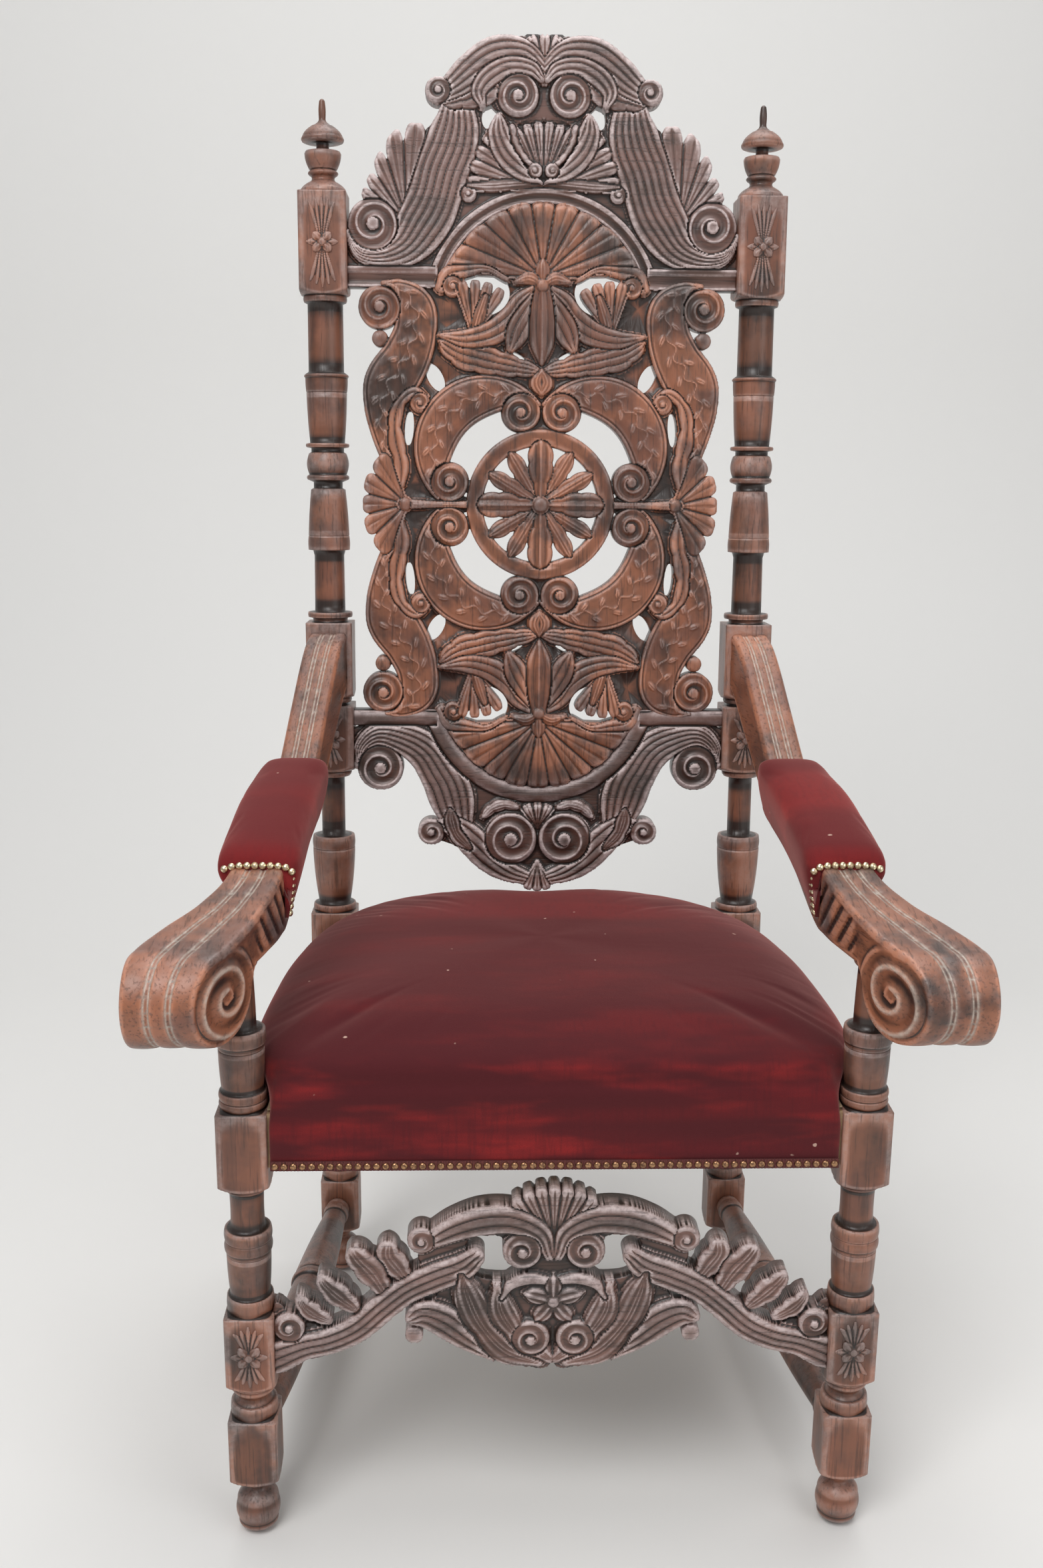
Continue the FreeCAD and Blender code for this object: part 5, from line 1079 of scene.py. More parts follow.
def panel():
    """The pierced back. What lies above its middle is carved again below, upside down: a shell in
    the arch, leaves, a scroll at each side and crescents round the ring with its rosette."""
    carving = Relief(BOARD_HALF - 3, -310, 310, 1.1)
    arch = 109.2
    boss_up = 235.0

    def shell_reach(angle):
        """From the boss to the arch, the root of a quadratic."""
        drop = boss_up - 200
        return -drop * np.cos(angle) + np.sqrt(arch**2 - (drop * np.sin(angle)) ** 2)

    for flip in (1, -1):
        carving.flip = flip
        # Grounds behind the carving, and the light gaps in them
        carving.web([(0, 122), (30, 136), (66, 134), (100, 118), (124, 92), (133, 60), (130, 24),
                     (148, 14), (160, 36), (168, 66), (174, 96), (176, 126), (162, 146), (152, 176),
                     (150, 204), (156, 222), (120, 227), (107, 232)], 0.3)
        carving.web([(0, 120), (106, 140), (110, 226), (104, 240), (94, 256), (74, 279), (44, 299),
                     (0, 308)], 0.3)
        carving.web([(0, 82), (20, 82), (26, 108), (0, 122)], 0.3)
        carving.web([(80, -4), (134, -4), (134, 32), (118, 24), (104, 10), (80, 8)], 0.3)
        carving.cut((61, 219), 27, 23, -8)
        carving.cut((27, 155), 11, 3.8, 24)
        carving.cut((113, 133), 8, 16, -28)
        carving.cut((141, 80), 5, 19, 4)
        # Shell, its small volutes and its leaves
        carving.fan((0, boss_up), shell_reach, 88, 9, top=1.2, notch=0.05)
        carving.band([(38, 233, 3), (58, 243, 4), (80, 241, 7), (98, 237, 9), (106, 225, 7)],
                     fluted(2), 1.0)
        carving.volute((94, 225), 11.5, 1.3, 60, 1, 1.6)
        carving.band([(6, 140, 6), (34, 145, 12), (62, 151, 15), (88, 158, 14), (107, 169, 4)],
                     fluted(4), 0.4, lobes=5)
        carving.fan((73, 176), 56, 30, 4, turn=-10, top=1.2, notch=0.18)
        carving.band([(72, 176, 4), (66, 196, 7), (60, 214, 5)], leafy(2.0), 2.0)
        carving.band([(6, 222, 7), (21, 210, 11), (33, 192, 14), (54, 178, 13), (80, 172, 10),
                      (106, 175, 3)], fluted(3), 2.0)
        carving.band([(4, 218, 7), (16, 198, 12), (26, 180, 13), (33, 163, 5)], fluted(3), 2.6)
        carving.band([(0, 224, 9), (0, 200, 14), (0, 174, 14), (0, 148, 3)], petal, 3.2)
        carving.band([(0, 232, 4), (0, 242, 8), (0, 252, 3)], leafy(2.0), 3.2)
        carving.band([(3, 229, 4), (14, 234, 7), (27, 231, 3)], leafy(2.0), 3.4)
        carving.boss((0, 227), 6.5, 8.0)
        # Scroll at the side with a leaf over it
        carving.band([(166, 227, 4), (148, 221, 11), (134, 203, 21), (134, 178, 23), (144, 152, 26),
                      (160, 127, 28), (169, 106, 20), (171, 86, 14), (166, 62, 11), (160, 38, 6)],
                     scrolled, 0.8)
        carving.boss((171, 172), 8.5, 3.0, 4.0)
        carving.band([(150, 22, 6), (150, 44, 9), (155, 66, 9), (156, 88, 8), (150, 106, 7),
                      (136, 117, 6), (124, 113, 4)], fluted(2), 1.8, lobes=4)
        carving.volute((129, 106), 11, 1.2, 20, -1, 2.4)
        carving.volute((171, 204), 22.5, 1.7, -100, 1, 1.6)
        # Crescent with a volute at each end
        carving.band(crescent_path((60, 60), 76, 111, 141, -46), scrolled, 1.4, per=3)
        carving.volute((22, 97), 21, 1.6, 140, -1, 2.4)
        carving.volute((98, 24), 21, 1.6, -60, 1, 2.4)
        carving.band([(0, 118, 4), (4, 128, 8), (0, 140, 3)], leafy(2.0), 2.4)
    # Side shells, ring and rosette, which lie across the middle
    carving.flip = 1
    carving.web([(116, 0), (126, 15), (140, 28), (154, 40), (160, 20), (160, -20), (154, -40),
                 (140, -28), (126, -15)], 0.3)
    carving.fan((144, 0), lambda angle: 47 + 13 * np.abs(angle / 1.15) ** 1.5, 72, 5, turn=90,
                top=1.4, notch=0.15)
    carving.band([(76, 0, 4), (110, 0, 4), (150, 0, 6)], fluted(3), 1.2)
    carving.boss((146, 0), 7, 5.4)
    carving.ring((0, 0), 62, 80, flat_ring)
    carving.boss((0, 0), 40, 0.4, 0.5)
    for turn in (31, 59, 121, 149):
        carving.ray((0, 0), turn, [(6, 4), (26, 8), (44, 9.5), (61, 6)], leafy(2.0), 0.4, lobes=3)
    for turn in (0, 90, 180):
        carving.ray((0, 0), turn, [(6, 5), (24, 9), (42, 14), (56, 12), (64, 6)], petal, 1.8, lobes=3)
    carving.boss((0, 0), 7.5, 7.5)
    return carving.solid("back_panel_carved", back_place(PANEL_UP), BOARD_BACK, OAK_CARVED,
                         triangles=198000)


STRETCHER_BASE = 175 * MM
STRETCHER_HALF = 248.0


def stretcher_place(local):
    """Puts a board's points before the front legs' middle plane."""
    return on_front(local + np.array([0, STRETCHER_BASE, BACK_LIFT]))


def stretcher():
    """The front stretcher: long leaves that rise from each leg to an arch over a small flower."""
    carving = Relief(STRETCHER_HALF, -9, 177)
    carving.web([(0, 0), (40, 4), (80, 30), (112, 40), (108, 62), (84, 92), (60, 84), (30, 86),
                 (0, 110)])
    carving.web([(0, 100), (22, 96), (36, 120), (70, 128), (84, 104), (110, 92), (120, 110),
                 (100, 134), (60, 152), (0, 150)])
    carving.web([(248, -8), (248, 60), (226, 44), (200, 36), (190, 18), (210, 8), (234, 4)])
    for leaf in ([(128, 84, 5), (138, 98, 11), (146, 110, 11), (146, 121, 4)],
                 [(148, 72, 6), (160, 92, 13), (172, 106, 11), (178, 115, 4)],
                 [(176, 58, 6), (190, 70, 11), (200, 80, 9), (206, 88, 4)],
                 [(200, 46, 5), (214, 54, 9), (222, 62, 7), (226, 70, 3)]):
        carving.band(leaf, leafy(3.0), 0.8, lobes=3)
    carving.fan((0, 118), 58, 56, 9, top=0.6)
    carving.band([(246, 10, 16), (222, 20, 13), (198, 26, 13), (174, 38, 13), (152, 58, 13),
                  (130, 76, 13), (106, 88, 14), (82, 98, 13), (70, 108, 9)], fluted(4), 1.2)
    carving.band([(4, 112, 6), (12, 132, 10), (36, 144, 13), (62, 144, 14), (86, 137, 12),
                  (104, 128, 9), (116, 122, 7)], fluted(3), 1.8)
    carving.band([(52, 10, 6), (76, 28, 13), (96, 44, 16), (114, 52, 13), (126, 48, 6)],
                 fluted(4), 1.0)
    carving.boss((124, 30), 8, 3.5)
    carving.band([(14, 4, 8), (42, 16, 14), (64, 42, 15), (76, 70, 12), (82, 92, 4)], leafy(4.0),
                 1.8, lobes=2)
    carving.band([(4, 8, 8), (30, 30, 12), (46, 54, 12), (50, 78, 5)], leafy(4.0), 2.2, lobes=2)
    carving.volute((235, 40), 14.5, 1.3, -90, 1, 2.0)
    carving.volute((28, 114), 17.5, 1.5, 110, -1, 3.0)
    carving.volute((117, 125), 12.5, 1.2, 150, 1, 2.4)
    carving.volute((20, 27), 17.5, 1.5, 70, -1, 3.0)
    carving.band([(4, 84, 4), (22, 86, 6), (38, 80, 5), (46, 68, 3)], rounded, 1.4)
    flower_up = 64
    for turn in (0, 72, 144):
        across, up = math.sin(math.radians(turn)), math.cos(math.radians(turn))
        carving.band([(3 * across, flower_up + 3 * up, 4), (15 * across, flower_up + 15 * up, 8),
                      (25 * across, flower_up + 22 * up, 3)], petal, 2.4)
    carving.boss((0, flower_up), 5.5, 7.0)
    return carving.solid("front_stretcher_carved", stretcher_place, BOARD_BACK, OAK_STRETCHER,
                         triangles=160000)


keep(crest(), "oak", "crest_rail")
keep(panel(), "oak", "back_panel")
keep(lower_rail(), "oak", "lower_back_rail")
keep(stretcher(), "oak", "front_stretcher")


# Small flowers in low relief on the squared blocks

PLAQUE_FLATNESS = np.array([1, 1, 0.34])


def plaque(name, x, low, high, place):
    """A four-petalled flower between radial leaves, flattened to a third of a board's relief."""
    middle, half_height = (low + high) / 2 / MM, (high - low) / 2 / MM - 5
    carving = Relief(17, -half_height, half_height, 0.55)
    for flip in (-1, 1):
        carving.flip = flip
        for lean in (0, 5.5, 11):
            carving.band([(lean * 0.25, 5, 1.5), (lean * 0.8, half_height * 0.6, 3.2 - lean * 0.08),
                          (lean * 1.15, half_height - 1.5 - lean * 0.6, 1.0)], petal)
    carving.band([(3, 0, 1.5), (10, 0, 3.4), (15.5, 0, 1.2)], petal)
    for turn in (45, 135):
        carving.ray((0, 0), turn, [(2, 2), (7, 4.6), (11, 2)], petal, 2.5)
    carving.boss((0, 0), 3.4, 7.0)

    def put(local):
        return place(local * PLAQUE_FLATNESS + np.array([x, middle * MM, 0]))

    keep(carving.solid(name, put, 2.0, OAK_TURNED, triangles=16000), "oak")


def on_post(local):
    """Points on a raked post's front face."""
    return on_back(local + np.array([0, -BEND, POST_HALF]))


def on_leg(local):
    """Points on a front leg's front face."""
    return on_front(local + np.array([0, 0, LEG_HALF]))


for side, word in SIDES:
    plaque(f"top_block_flower_{word}", side * POST_X, *TOP_BLOCK, on_post)
    plaque(f"rail_block_flower_{word}", side * POST_X, *RAIL_BLOCK, on_post)
    plaque(f"leg_block_flower_{word}", side * LEG_X, *CARVED_BLOCK, on_leg)


# Arms. Places are distances behind the front legs' axis and heights above the floor

ROLL_Y, ROLL_Z, ROLL_RADIUS = -58.0, 547.0, 41.0
ARM_TOP = [(433, 771), (412, 762), (387, 741), (352, 705), (303, 658), (268, 647), (201, 639),
           (80, 617), (20, 603), (-22, 595), (ROLL_Y, ROLL_Z + ROLL_RADIUS)]
ARM_UNDER = [(430, 712), (410, 697), (377, 668), (329, 627), (286, 603), (201, 585), (95, 558),
             (60, 556), (-8, 556)]
# Each row: distance behind the leg's axis, inner edge and outer edge from the chair's middle
ARM_PLAN = curve([(434, 209, 249), (305, 230, 270), (200, 236, 281), (75, 239, 286),
                  (20, 247, 304), (-22, 257, 328), (-60, 271, 346), (-100, 290, 349.5)], 12)[::-1]
LEG_PLANE = LEG_Y / MM
WOOD_TOP = curve(ARM_TOP)[::-1]
# Points along each run of the side outline: behind the roll, and round it
STRAIGHT_COUNT, ROLL_COUNT = 130, 78


def arm_edges(y):
    """How far the arm's inner and outer edge lie from the chair's middle."""
    return [np.interp(y, ARM_PLAN[:, 0], ARM_PLAN[:, edge]) for edge in (1, 2)]


def wood_height(y):
    """Height of the arm's upper edge."""
    return np.interp(y, WOOD_TOP[:, 0], WOOD_TOP[:, 1])


def even(path, count):
    """Points at even distances along a path."""
    run = travelled(path)
    at = np.linspace(0, run[-1], count)
    return np.stack([np.interp(at, run, path[:, axis]) for axis in (0, 1)], -1)


def roll_arc(start, end, count=60):
    """An arc of the roll's circle between two angles."""
    turn = np.radians(np.linspace(start, end, count))
    return np.stack([ROLL_Y + ROLL_RADIUS * np.cos(turn), ROLL_Z + ROLL_RADIUS * np.sin(turn)], -1)


def arm_loop():
    """The side outline in two runs that meet at the lower front of the roll: over the top, and
    along the underside. Their points pair up across the arm's depth."""
    top, under = curve(ARM_TOP), curve(ARM_UNDER)
    behind_roll = top[:, 0] > -8
    meeting = 214
    runs = ((top[behind_roll], [top[~behind_roll], roll_arc(90, meeting)[1:]]),
            (under, [under[-1:], [[-14, 548]], roll_arc(350, meeting)]))
    return [np.vstack([even(straight, STRAIGHT_COUNT), even(np.vstack(front), ROLL_COUNT)[1:]])
            for straight, front in runs]


ACROSS = np.linspace(-1, 1, 71)


def arm_across(run, outward, lobed):
    """Carries a profile along one run of the outline: x goes from the inner to the outer edge,
    with rounded edges, and three lobes parted by two double grooves stand along the normal."""
    inner, outer = arm_edges(run[:, 0])
    half = ((outer - inner) / 2)[:, None]
    middle = ((outer + inner) / 2)[:, None]
    from_edge = half * (1 - np.abs(ACROSS))
    edge_round = 4.0
    lift = -edge_round * (1 - quarter_round(from_edge, edge_round))
    line = np.zeros_like(lift)
    if lobed:
        beside = np.abs(ACROSS)
        parting = 0.29
        outer_lobe, middle_lobe = arched((beside - 0.65) / 0.37), arched(beside / 0.30)
        lift += 2.6 * np.where(beside > parting, outer_lobe, middle_lobe * 0.8) - 2.6
        groove = np.abs(beside - parting) * half
        tick_pitch = 13
        tick = bell(travelled(run)[:, None] % tick_pitch - 6, 1.0) * bell(groove, 3.6)
        line = np.maximum(bell(groove - 1.9, 0.8), tick * 0.8)
        lift -= line
    x = middle + half * ACROSS
    y = run[:, :1] + outward[:, :1] * lift
    z = run[:, 1:] + outward[:, 1:] * lift
    return np.stack([x, y, z, line], -1)


def side_relief(y, z, face):
    """Carving on a side of the arm and its light lines: a spiral line of about two turns round the
    roll's axis, and behind it leaves that hang from the top edge as scallops."""
    out = np.hypot(y - ROLL_Y, z - ROLL_Z) / ROLL_RADIUS
    angle = np.arctan2(z - ROLL_Z, y - ROLL_Y)
    eye, turns, rim = 0.16, 2.2, 1.02
    phase = ((1 - out) * turns + angle / TAU + 0.35) % 1
    line = bell(phase - 0.5, 0.10) * (out > eye) * (out < 0.90)
    scroll = np.where(out < eye, 2.8, 1.6 + np.cos(TAU * phase + math.pi) + line)
    leaf_pitch = 21
    leaf_phase = ((y + 0.75 * (z - 600)) / leaf_pitch) % 1
    leaf = 3.4 * arched(2 * leaf_phase - 1) - 2.2
    leaf = leaf * np.clip((y + 8) / 10, 0, 1) * np.clip((100 - y) / 30, 0, 1) * face
    on_roll = out < rim
    return (np.where(on_roll, scroll * np.clip((rim - out) * 9, 0, 1), leaf),
            np.where(on_roll, line, 0))


def outwards_of(run, sign):
    """Normals along a run of the outline. The first one points up for 1 and down for -1."""
    ahead = np.gradient(run, axis=0)
    ahead /= np.hypot(*ahead.T)[:, None]
    normals = np.stack([ahead[:, 1], -ahead[:, 0]], -1)
    return normals * np.sign(normals[0, 1]) * sign


def arm(side, word):
    """Four grids that meet at the outline's edges, and a rear end: the top, the underside, whose
    lobes grow in on the roll, and the two sides with their relief."""
    over, below = arm_loop()
    top = arm_across(over, outwards_of(over, 1), True)
    plain, lobed = (arm_across(below, outwards_of(below, -1), lobes) for lobes in (False, True))
    grown = np.clip((np.arange(len(over)) - (STRAIGHT_COUNT - 2)) / 6.0, 0, 1)[:, None, None]
    under = plain + (lobed - plain) * grown
    under[-1] = top[-1]
    columns = top.shape[1]
    share = np.linspace(0, 1, 33)[None, :, None]
    rim = np.clip(np.minimum(share, 1 - share) * 7, 0, 1)[..., 0]
    caps = []
    for column, outward, face, sunk in ((0, -1, 1.0, 0.6), (columns - 1, 1, 0.4, 3.4)):
        cap = top[:, column, None] * (1 - share) + under[:, column, None] * share
        relief, cap[..., 3] = side_relief(cap[..., 1], cap[..., 2], face)
        cap[..., 0] += (relief - sunk) * rim * outward
        caps.append(cap)
    pieces = [(grid.reshape(-1, 4), grid_quads(*grid.shape[:2], False))
              for grid in (top, under[:, ::-1], caps[0][:, ::-1], caps[1])]
    rear = np.stack([top[0], under[0]])
    pieces.append((rear.reshape(-1, 4), grid_quads(2, columns, False)[:, ::-1]))
    points, quads = joined(pieces)
    x, y, z, line = points.T
    made = new_object(f"arm_carved_{word}", np.stack([side * x, y + LEG_PLANE, z], -1) * MM, quads,
                      OAK_ARM)
    paint(made, "line", line)
    tidy(made, 0.02 * MM)
    keep(find_convexity(made), "oak", f"arm_{word}")


# Stuffed pieces


SWELL_STEPS = 20
STUFFING_PRESSURE = 4.0


def swell(made, pinned, cap):
    """Blows a cover up a little as stuffing does: cloth under pressure for some steps, held where
    it is nailed down. No point moves further than the cap."""
    mesh = made.data
    start = vertex_rows(mesh)
    group = made.vertex_groups.new(name="held")
    for weight in np.unique(np.round(pinned, 1)):
        if weight > 0:
            chosen = np.flatnonzero(np.round(pinned, 1) == weight)
            group.add(chosen.tolist(), float(weight), "REPLACE")
    cloth = made.modifiers.new("stuffing", "CLOTH")
    cloth.settings.vertex_group_mass = group.name
    cloth.settings.use_pressure = True
    cloth.settings.uniform_pressure_force = STUFFING_PRESSURE
    cloth.settings.effector_weights.gravity = 0
    cloth.settings.quality = 4
    scene = bpy.context.scene
    for step in range(1, SWELL_STEPS + 1):
        scene.frame_set(step)
    evaluated = made.evaluated_get(bpy.context.evaluated_depsgraph_get())
    move = vertex_rows(evaluated.data) - start
    far = np.linalg.norm(move, axis=1, keepdims=True)
    move *= cap * np.tanh(far / cap) / np.maximum(far, 1e-9)
    made.modifiers.remove(cloth)
    made.vertex_groups.remove(group)
    mesh.vertices.foreach_set("co", (start + move).ravel())
    mesh.update()
    scene.frame_set(1)


FLAP_POINTS, CROWN_POINTS = 12, 41
FLAP_DROP, OUTER_DROP = 46, 20
WOOD_GAP = 0.6


def pad_section(y, fullness):
    """A section across the arm, closed: from the bottom of the inner flap over the crown to the
    outer edge, then back close round the wood."""
    inner, outer = arm_edges(y)
    wood = wood_height(y)
    overhang, crown = 14.0 * (0.45 + 0.55 * fullness), 2.0 + 13.0 * fullness
    left, right = inner - overhang, outer + overhang
    middle, half = (left + right) / 2, (right - left) / 2
    turn = np.linspace(math.pi, 0, CROWN_POINTS)
    power = 0.55
    across = middle + half * squared_off(np.cos(turn), power)
    up = wood - 6 + (crown + 6) * np.sin(turn) ** power
    flap, outer_edge = wood - FLAP_DROP, wood - OUTER_DROP
    down = np.linspace(flap, up[0], FLAP_POINTS, endpoint=False)
    tuck = np.clip((up[0] - down) / (up[0] - flap), 0, 1) ** 1.4
    inner_side = np.stack([left + (overhang - 3.5) * tuck, down], -1)
    outer_down = np.linspace(up[-1], outer_edge, 7)[1:]
    outer_tuck = ((up[-1] - outer_down) / (up[-1] - outer_edge)) ** 1.4
    outer_side = np.stack([right - (overhang - 3.5) * outer_tuck, outer_down], -1)
    beyond, within, over = outer + WOOD_GAP, inner - WOOD_GAP, wood + WOOD_GAP
    back = np.array([(beyond, outer_edge), (beyond, wood - 8), (beyond, over), (outer - 8, over),
                     (inner + 8, over), (within, over), (within, wood - 12), (within, wood - 28),
                     (within, flap)])
    return np.vstack([inner_side, np.stack([across, up], -1), outer_side, back])


PAD_FRONT, PAD_REAR = 78.0, 300.0
SWELL_CAP = 5 * MM


def arm_pad(side, word):
    """Sections along the arm, low at both ends, closed and then blown up above the wood."""
    share = np.concatenate([[0, 0.012, 0.035], np.linspace(0.07, 0.93, 34), [0.965, 0.988, 1]])
    fullness = np.clip(1 - (np.abs(2 * share - 1)) ** 14, 0, 1) ** 0.5
    stations = PAD_FRONT - 5 + (PAD_REAR - PAD_FRONT + 5) * share
    rings = []
    for y, full in zip(stations, fullness):
        section = pad_section(y, full)
        rings.append(np.column_stack([side * section[:, 0], np.full(len(section), y + LEG_PLANE),
                                      section[:, 1]]))
    rings = np.stack(rings) * MM
    rows, columns = rings.shape[:2]
    first = np.arange(columns // 2)
    other = columns - 1 - first
    end = np.stack([first[:-1], first[1:], other[1:], other[:-1]], -1)
    quads = np.vstack([grid_quads(rows, columns, True), end, end + (rows - 1) * columns])
    made = tidy(new_object(f"arm_pad_velvet_{word}", rings.reshape(-1, 3), quads, ARM_VELVET))
    _, front, height = vertex_rows(made.data).T
    wood = wood_height(front / MM - LEG_PLANE) * MM
    pinned = np.clip(1 - (height - wood + 2 * MM) / (6 * MM), 0, 1)
    swell(made, pinned, SWELL_CAP)
    keep(made, "arm_velvet", f"arm_pad_{word}")


NAIL_RINGS, NAIL_SIDES = 5, 12
NAIL_HEIGHT_SHARE, NAIL_SUNK_SHARE = 0.62, 0.35


def dome_nails(name, places, outwards, radius, material, slot):
    """Domed heads as one mesh. Round each place, rings of points climb a quarter circle to the top
    of the dome, one more ring lies sunk below the place, and flat faces close it."""
    rise = np.linspace(0, math.pi / 2, NAIL_RINGS)[:, None]
    turn = np.arange(NAIL_SIDES) * TAU / NAIL_SIDES
    height = np.broadcast_to(NAIL_HEIGHT_SHARE * np.sin(rise), (NAIL_RINGS, NAIL_SIDES))
    dome = np.stack([np.cos(rise) * np.cos(turn), np.cos(rise) * np.sin(turn), height], -1)
    dome = np.vstack([dome[:1] - [0, 0, NAIL_SUNK_SHARE], dome]) * radius
    corner = np.arange(NAIL_SIDES)
    odd = corner[1:-2:2]
    base = np.stack([odd, np.zeros_like(odd), corner[3::2], corner[2:-1:2]], -1)
    quads = np.vstack([grid_quads(NAIL_RINGS + 1, NAIL_SIDES, True), base])
    pieces = []
    for place, outward in zip(places, outwards):
        turned = np.array(Vector(outward).to_track_quat("Z", "Y").to_matrix())
        pieces.append((dome.reshape(-1, 3) @ turned.T + place, quads))
    keep(tidy(new_object(name, *joined(pieces), material), 0.001 * MM), slot)


PAD_NAIL_RADIUS, PAD_NAIL_PITCH = 3.3 * MM, 6.8 * MM
FLAP_NAILS = 6


def pad_nails(side, word):
    """A row under the pad's front edge and one down the front of its inner flap."""
    section = pad_section(PAD_FRONT, 0.2) * MM
    y = (PAD_FRONT + LEG_PLANE - 5.5) * MM
    flap, crown = section[:FLAP_POINTS], section[FLAP_POINTS:FLAP_POINTS + CROWN_POINTS]
    run = travelled(crown)
    at = np.arange(5 * MM, run[-1] - 4 * MM, PAD_NAIL_PITCH)
    across, up = (np.interp(at, run, crown[:, axis]) for axis in (0, 1))
    row = np.stack([side * across, np.full(len(at), y), up - 3.0 * MM], -1)
    down = np.linspace(flap[0, 1] + 2 * MM, flap[-1, 1] - 2 * MM, FLAP_NAILS)
    inner = np.interp(down, flap[:, 1], flap[:, 0])
    column = np.stack([side * (inner - 0.8 * MM), np.full(FLAP_NAILS, y + 5 * MM), down], -1)
    outwards = [(0, -1, 0.35)] * len(row) + [(-side, -0.25, 0)] * FLAP_NAILS
    dome_nails(f"arm_nails_{word}", np.vstack([row, column]), outwards, PAD_NAIL_RADIUS, ARM_BRASS,
               "arm_nails")


SEAT_LOW, SEAT_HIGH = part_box("seat_cushion")
COVER_BOTTOM = SEAT_LOW.z / MM + 0.6
SEAT_TOP = SEAT_HIGH.z / MM
LEG_CLEAR, POST_CLEAR = 247.4, 203.4
SEAT_FRONT, SEAT_REAR = SEAT_LOW.y / MM, SEAT_HIGH.y / MM
LEG_REAR = LEG_PLANE + 22.6
POST_FRONT = POST_Y / MM - 25.6
SIDE_FRONT_X, SIDE_REAR_X = 276.0, 239.5
SEAT_CORNERS = [(LEG_CLEAR, SEAT_FRONT), (LEG_CLEAR, LEG_REAR), (SIDE_FRONT_X, LEG_REAR),
                (SIDE_REAR_X, POST_FRONT), (POST_CLEAR, POST_FRONT), (POST_CLEAR, SEAT_REAR)]
SEAT_MIDDLE = (SEAT_FRONT + SEAT_REAR) / 2
# The stuffed outline above the blocks: its right half from the front to the middle of the rear
STUFFED = [(264, SEAT_FRONT), (271, LEG_REAR + 30), (262, 5), (243, 105), (222, 160), (184, 212),
           (130, 241), (76, 249), (0, 242)]
# Each row: a share of the way out to that outline, and a share of the crown's height
CROWN = [(0.10, 0.998), (0.20, 0.99), (0.30, 0.975), (0.40, 0.955), (0.50, 0.93), (0.60, 0.895),
         (0.70, 0.85), (0.78, 0.80), (0.85, 0.73), (0.90, 0.65), (0.94, 0.55), (0.97, 0.43),
         (0.988, 0.28), (0.997, 0.13), (1.0, 0.0)]
CROWN_EDGE = 461.0
CROWN_RISE = SEAT_TOP + 5 - CROWN_EDGE
# Each row: a step out of the blocks' outline to the cover's inner face, below 0 inwards, and its height
INSIDE = [(-2.6, COVER_BOTTOM - 0.4), (-3.4, COVER_BOTTOM + 1), (-3.6, 400.0), (-3.6, 425.0),
          (-6.0, 428.5), (-60, 428.5), (-150, 428.5)]


def mirrored(right):
    """A closed outline from its right half. A point on the middle isn't repeated."""
    return right + [(-x, y) for x, y in reversed(right) if x]


def reach_of(corners, angles):
    """Distance from the seat's middle to a closed outline along each angle: the nearest crossing
    of the ray with the outline's sides."""
    start = np.asarray(corners, float) - [0, SEAT_MIDDLE]
    side = np.roll(start, -1, 0) - start
    ray = np.stack([np.cos(angles), np.sin(angles)], -1)[:, None]
    cross = ray[..., 0] * side[:, 1] - ray[..., 1] * side[:, 0]
    cross = np.where(np.abs(cross) < 1e-9, 1e-9, cross)
    far = (start[:, 0] * side[:, 1] - start[:, 1] * side[:, 0]) / cross
    along = (start[:, 0] * ray[..., 1] - start[:, 1] * ray[..., 0]) / cross
    hit = (far > 0) & (along >= -1e-6) & (along <= 1 + 1e-6)
    return np.where(hit, far, 1e6).min(-1)


def softened(values, reach):
    """A circular average over neighbours, three times."""
    for _ in range(3):
        values = sum(np.roll(values, shift) for shift in range(-reach, reach + 1)) / (2 * reach + 1)
    return values


def seat():
    """Rings round the seat: out over the crown, down the sides to the nailed edge, and back
    inside the cover. Its top is a dome whose outline is drawn in at the rear corners."""
    count = 360
    angles = np.arange(count) * TAU / count
    blocks = mirrored(SEAT_CORNERS)
    for x, y in blocks:
        corner = math.atan2(y - SEAT_MIDDLE, x) % TAU
        angles[round(corner / TAU * count) % count] = corner
    tight = reach_of(blocks, angles)
    across, deep = np.abs(tight * np.cos(angles)), SEAT_MIDDLE + tight * np.sin(angles)
    beside_leg = (across > LEG_CLEAR - 1) & (deep < LEG_REAR + 1)
    beside_post = (across > POST_CLEAR - 1) & (deep > POST_FRONT - 1)
    soft = softened(reach_of(mirrored(STUFFED), angles), 6)
    rings = []
    for share, height in CROWN:
        wave = 1.3 * share * (1 - share) * 2 * np.sin(5 * angles + 1.2)
        rings.append((soft * share, CROWN_EDGE + CROWN_RISE * height + wave))
    lower = rings[-1][1]
    for step in np.linspace(0, 1, 17)[1:]:
        belly = np.where(beside_leg | beside_post, 0, 2.0 * np.abs(np.sin(math.pi * step)) ** 0.8)
        z = lower + (COVER_BOTTOM - lower) * step
        tightness = min(1.0, step * 1.8) ** 0.7
        rings.append((soft * (1 - tightness) + (tight - 1.2) * tightness + belly, z))
    rings += [(tight + inset, z) for inset, z in INSIDE]
    grid = np.stack([np.stack([reach * np.cos(angles), SEAT_MIDDLE + reach * np.sin(angles),
                               np.broadcast_to(z, reach.shape)], -1) for reach, z in rings])
    made = tube("seat_velvet_cover", grid * MM, SEAT_VELVET)
    height = vertex_rows(made.data)[:, 2] / MM
    swell(made, np.clip((452 - height) / 20, 0, 1), SWELL_CAP)
    apply_modifier(made, "SUBSURF", levels=1, render_levels=1)
    keep(made, "seat_velvet", "seat_cushion")


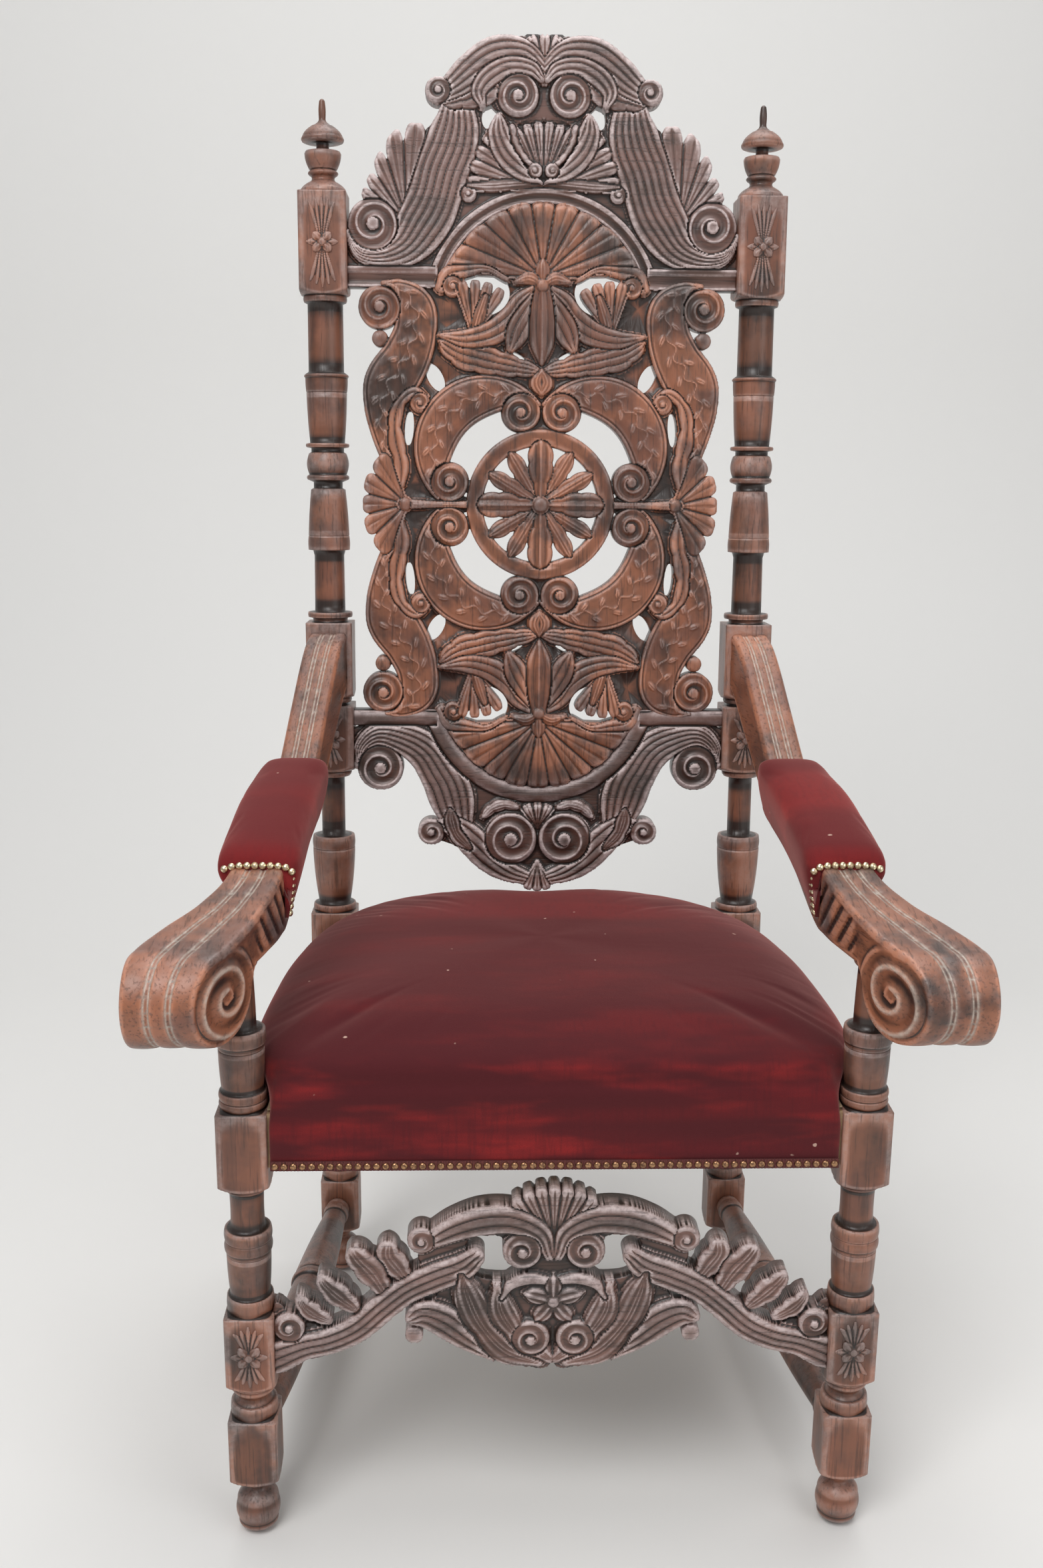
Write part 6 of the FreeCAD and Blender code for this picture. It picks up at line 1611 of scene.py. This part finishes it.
BRAID_HEIGHT = 9.0
BRAID_MIDDLE = COVER_BOTTOM + BRAID_HEIGHT / 2
BRAID_STEP, PLAIT_PITCH = 1.3, 3.1
NAIL_PITCH, NAIL_RADIUS = 7.9, 3.2


def seat_edges():
    """The four nailed edges of the cover, each a start, an end and the way it faces. They stop
    short of the blocks."""
    short = 2
    lean = Vector((LEG_REAR - POST_FRONT, SIDE_REAR_X - SIDE_FRONT_X)).normalized()
    edges = [((-LEG_CLEAR + short, SEAT_FRONT), (LEG_CLEAR - short, SEAT_FRONT), (0, -1)),
             ((-POST_CLEAR + short, SEAT_REAR), (POST_CLEAR - short, SEAT_REAR), (0, 1))]
    for side, _ in SIDES:
        edges.append(((side * SIDE_FRONT_X, LEG_REAR + short),
                      (side * SIDE_REAR_X, POST_FRONT - short), (-side * lean.x, -lean.y)))
    return edges


def braid():
    """A flat band with rounded edges along each nailed edge. Its face waves with two crossing
    sines, as plaited yarns do. The nails stand on it at even steps."""
    pieces, places, outwards = [], [], []
    turn = np.linspace(0, TAU, 22, endpoint=False)
    up = BRAID_HEIGHT / 2 * squared_off(np.sin(turn), 0.6)
    flat_out = 1.0 + 0.9 * squared_off(np.cos(turn), 0.5)
    for start, end, facing in seat_edges():
        start, end, facing = np.array(start), np.array(end), np.array(facing)
        length = np.linalg.norm(end - start)
        along = np.linspace(0, 1, int(length / BRAID_STEP))[:, None]
        phase = TAU * (along * length) / PLAIT_PITCH
        plait = 0.28 * np.sin(phase + up * 0.9) + 0.28 * np.sin(phase - up * 0.9)
        out = flat_out + plait * (np.cos(turn) > 0)
        flat = (start + (end - start) * along)[:, None] + facing * out[..., None]
        z = np.broadcast_to(BRAID_MIDDLE + up, flat.shape[:2])
        pieces.append(closed_tube(np.concatenate([flat, z[..., None]], -1)))
        number = round(length / NAIL_PITCH)
        for step in range(number):
            spot = start + (end - start) * (step + 0.5) / number + facing * 1.9
            places.append((*spot, BRAID_MIDDLE))
            outwards.append((*facing, 0.0))
    points, quads = joined(pieces)
    keep(tidy(new_object("seat_braid_plaited", points * MM, quads, BRAID)), "braid", "seat_braid")
    dome_nails("seat_nails", np.array(places) * MM, outwards, NAIL_RADIUS * MM, SEAT_BRASS,
               "seat_nails")


for side, word in SIDES:
    arm(side, word)
    arm_pad(side, word)
    pad_nails(side, word)
seat()
braid()


# Floor, light and camera


def studio():
    """A pale floor that curves up into a backdrop: flat, a quarter circle, then upright."""
    graph = Graph("studio_paper")
    paper = graph.surface(Base_Color=(0.80, 0.79, 0.77, 1), Roughness=0.9, Specular_IOR_Level=0.1)
    radius, wall = 1.2, 2.4
    turn = np.linspace(0, math.pi / 2, 24)
    y = np.concatenate([[-6.0], wall - radius + radius * np.sin(turn), [wall]])
    z = np.concatenate([[0.0], radius - radius * np.cos(turn), [6.0]])
    x = np.array([-7.0, 7.0])
    grid = np.stack([np.broadcast_to(x, (len(y), 2)), np.repeat(y[:, None], 2, 1),
                     np.repeat(z[:, None], 2, 1)], -1)
    made = new_object("studio_floor", grid.reshape(-1, 3), grid_quads(len(y), 2, False), paper)


def lamp(name, place, aim, size, power):
    """A square soft light that faces its aim."""
    data = bpy.data.lights.new(name, "AREA")
    data.shape, data.size, data.energy = "SQUARE", size, power
    made = bpy.data.objects.new(name, data)
    made.location = place
    made.rotation_euler = (Vector(aim) - Vector(place)).to_track_quat("-Z", "Y").to_euler()
    bpy.context.scene.collection.objects.link(made)


studio()
lamp("key_light", (-1.0, -2.2, 3.2), (0, 0, 0.7), size=1.8, power=75)
lamp("fill_light", (2.4, -2.4, 1.8), (0, 0, 0.6), size=2.2, power=28)
lamp("top_light", (0.2, 0.4, 3.4), (0, 0, 0.6), size=2.0, power=40)

world = bpy.data.worlds.new("studio_world")
bpy.context.scene.world = world
world.use_nodes = True
background = world.node_tree.nodes["Background"].inputs
background["Color"].default_value = (0.85, 0.87, 0.9, 1)
background["Strength"].default_value = 0.35
bpy.context.scene.view_settings.view_transform = "Standard"

# The photograph's view: 1568 by 2358 pixels, from a metre above the floor, tipped downwards
PHOTO_HEIGHT = 2358
FOCAL_PIXELS = 2312.7
PITCH, YAW, ROLL = 0.2454, 0.0314, 0.009
CAMERA_PLACE = (-70.6 * MM, LEG_Y - 1228.8 * MM, 1018.6 * MM)
SENSOR = 36.0

camera_data = bpy.data.cameras.new("camera")
camera_data.sensor_fit = "VERTICAL"
camera_data.sensor_height = SENSOR
camera_data.lens = FOCAL_PIXELS / PHOTO_HEIGHT * SENSOR
camera = bpy.data.objects.new("camera", camera_data)
forward = Vector((math.sin(YAW) * math.cos(PITCH), math.cos(YAW) * math.cos(PITCH),
                  -math.sin(PITCH)))
level_right = Vector((math.cos(YAW), -math.sin(YAW), 0))
level_up = level_right.cross(forward)
right = level_right * math.cos(ROLL) + level_up * math.sin(ROLL)
up = level_up * math.cos(ROLL) - level_right * math.sin(ROLL)
camera.matrix_world = Matrix.Translation(CAMERA_PLACE) @ Matrix(
    [right, up, -forward]).transposed().to_4x4()
bpy.context.scene.collection.objects.link(camera)
bpy.context.scene.camera = camera

# The hidden frame of the seat keeps its solids
for material, nodes in (
    (FRAME_WOOD, ("front_seat_rail", "rear_seat_rail", "left_seat_rail", "right_seat_rail",
                  "corner_blocks")),
    (WEBBING, ("seat_webbing",)),
    (HESSIAN, ("seat_base_cloth",)),
):
    for node in nodes:
        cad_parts[node].data.materials.clear()
        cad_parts[node].data.materials.append(material)
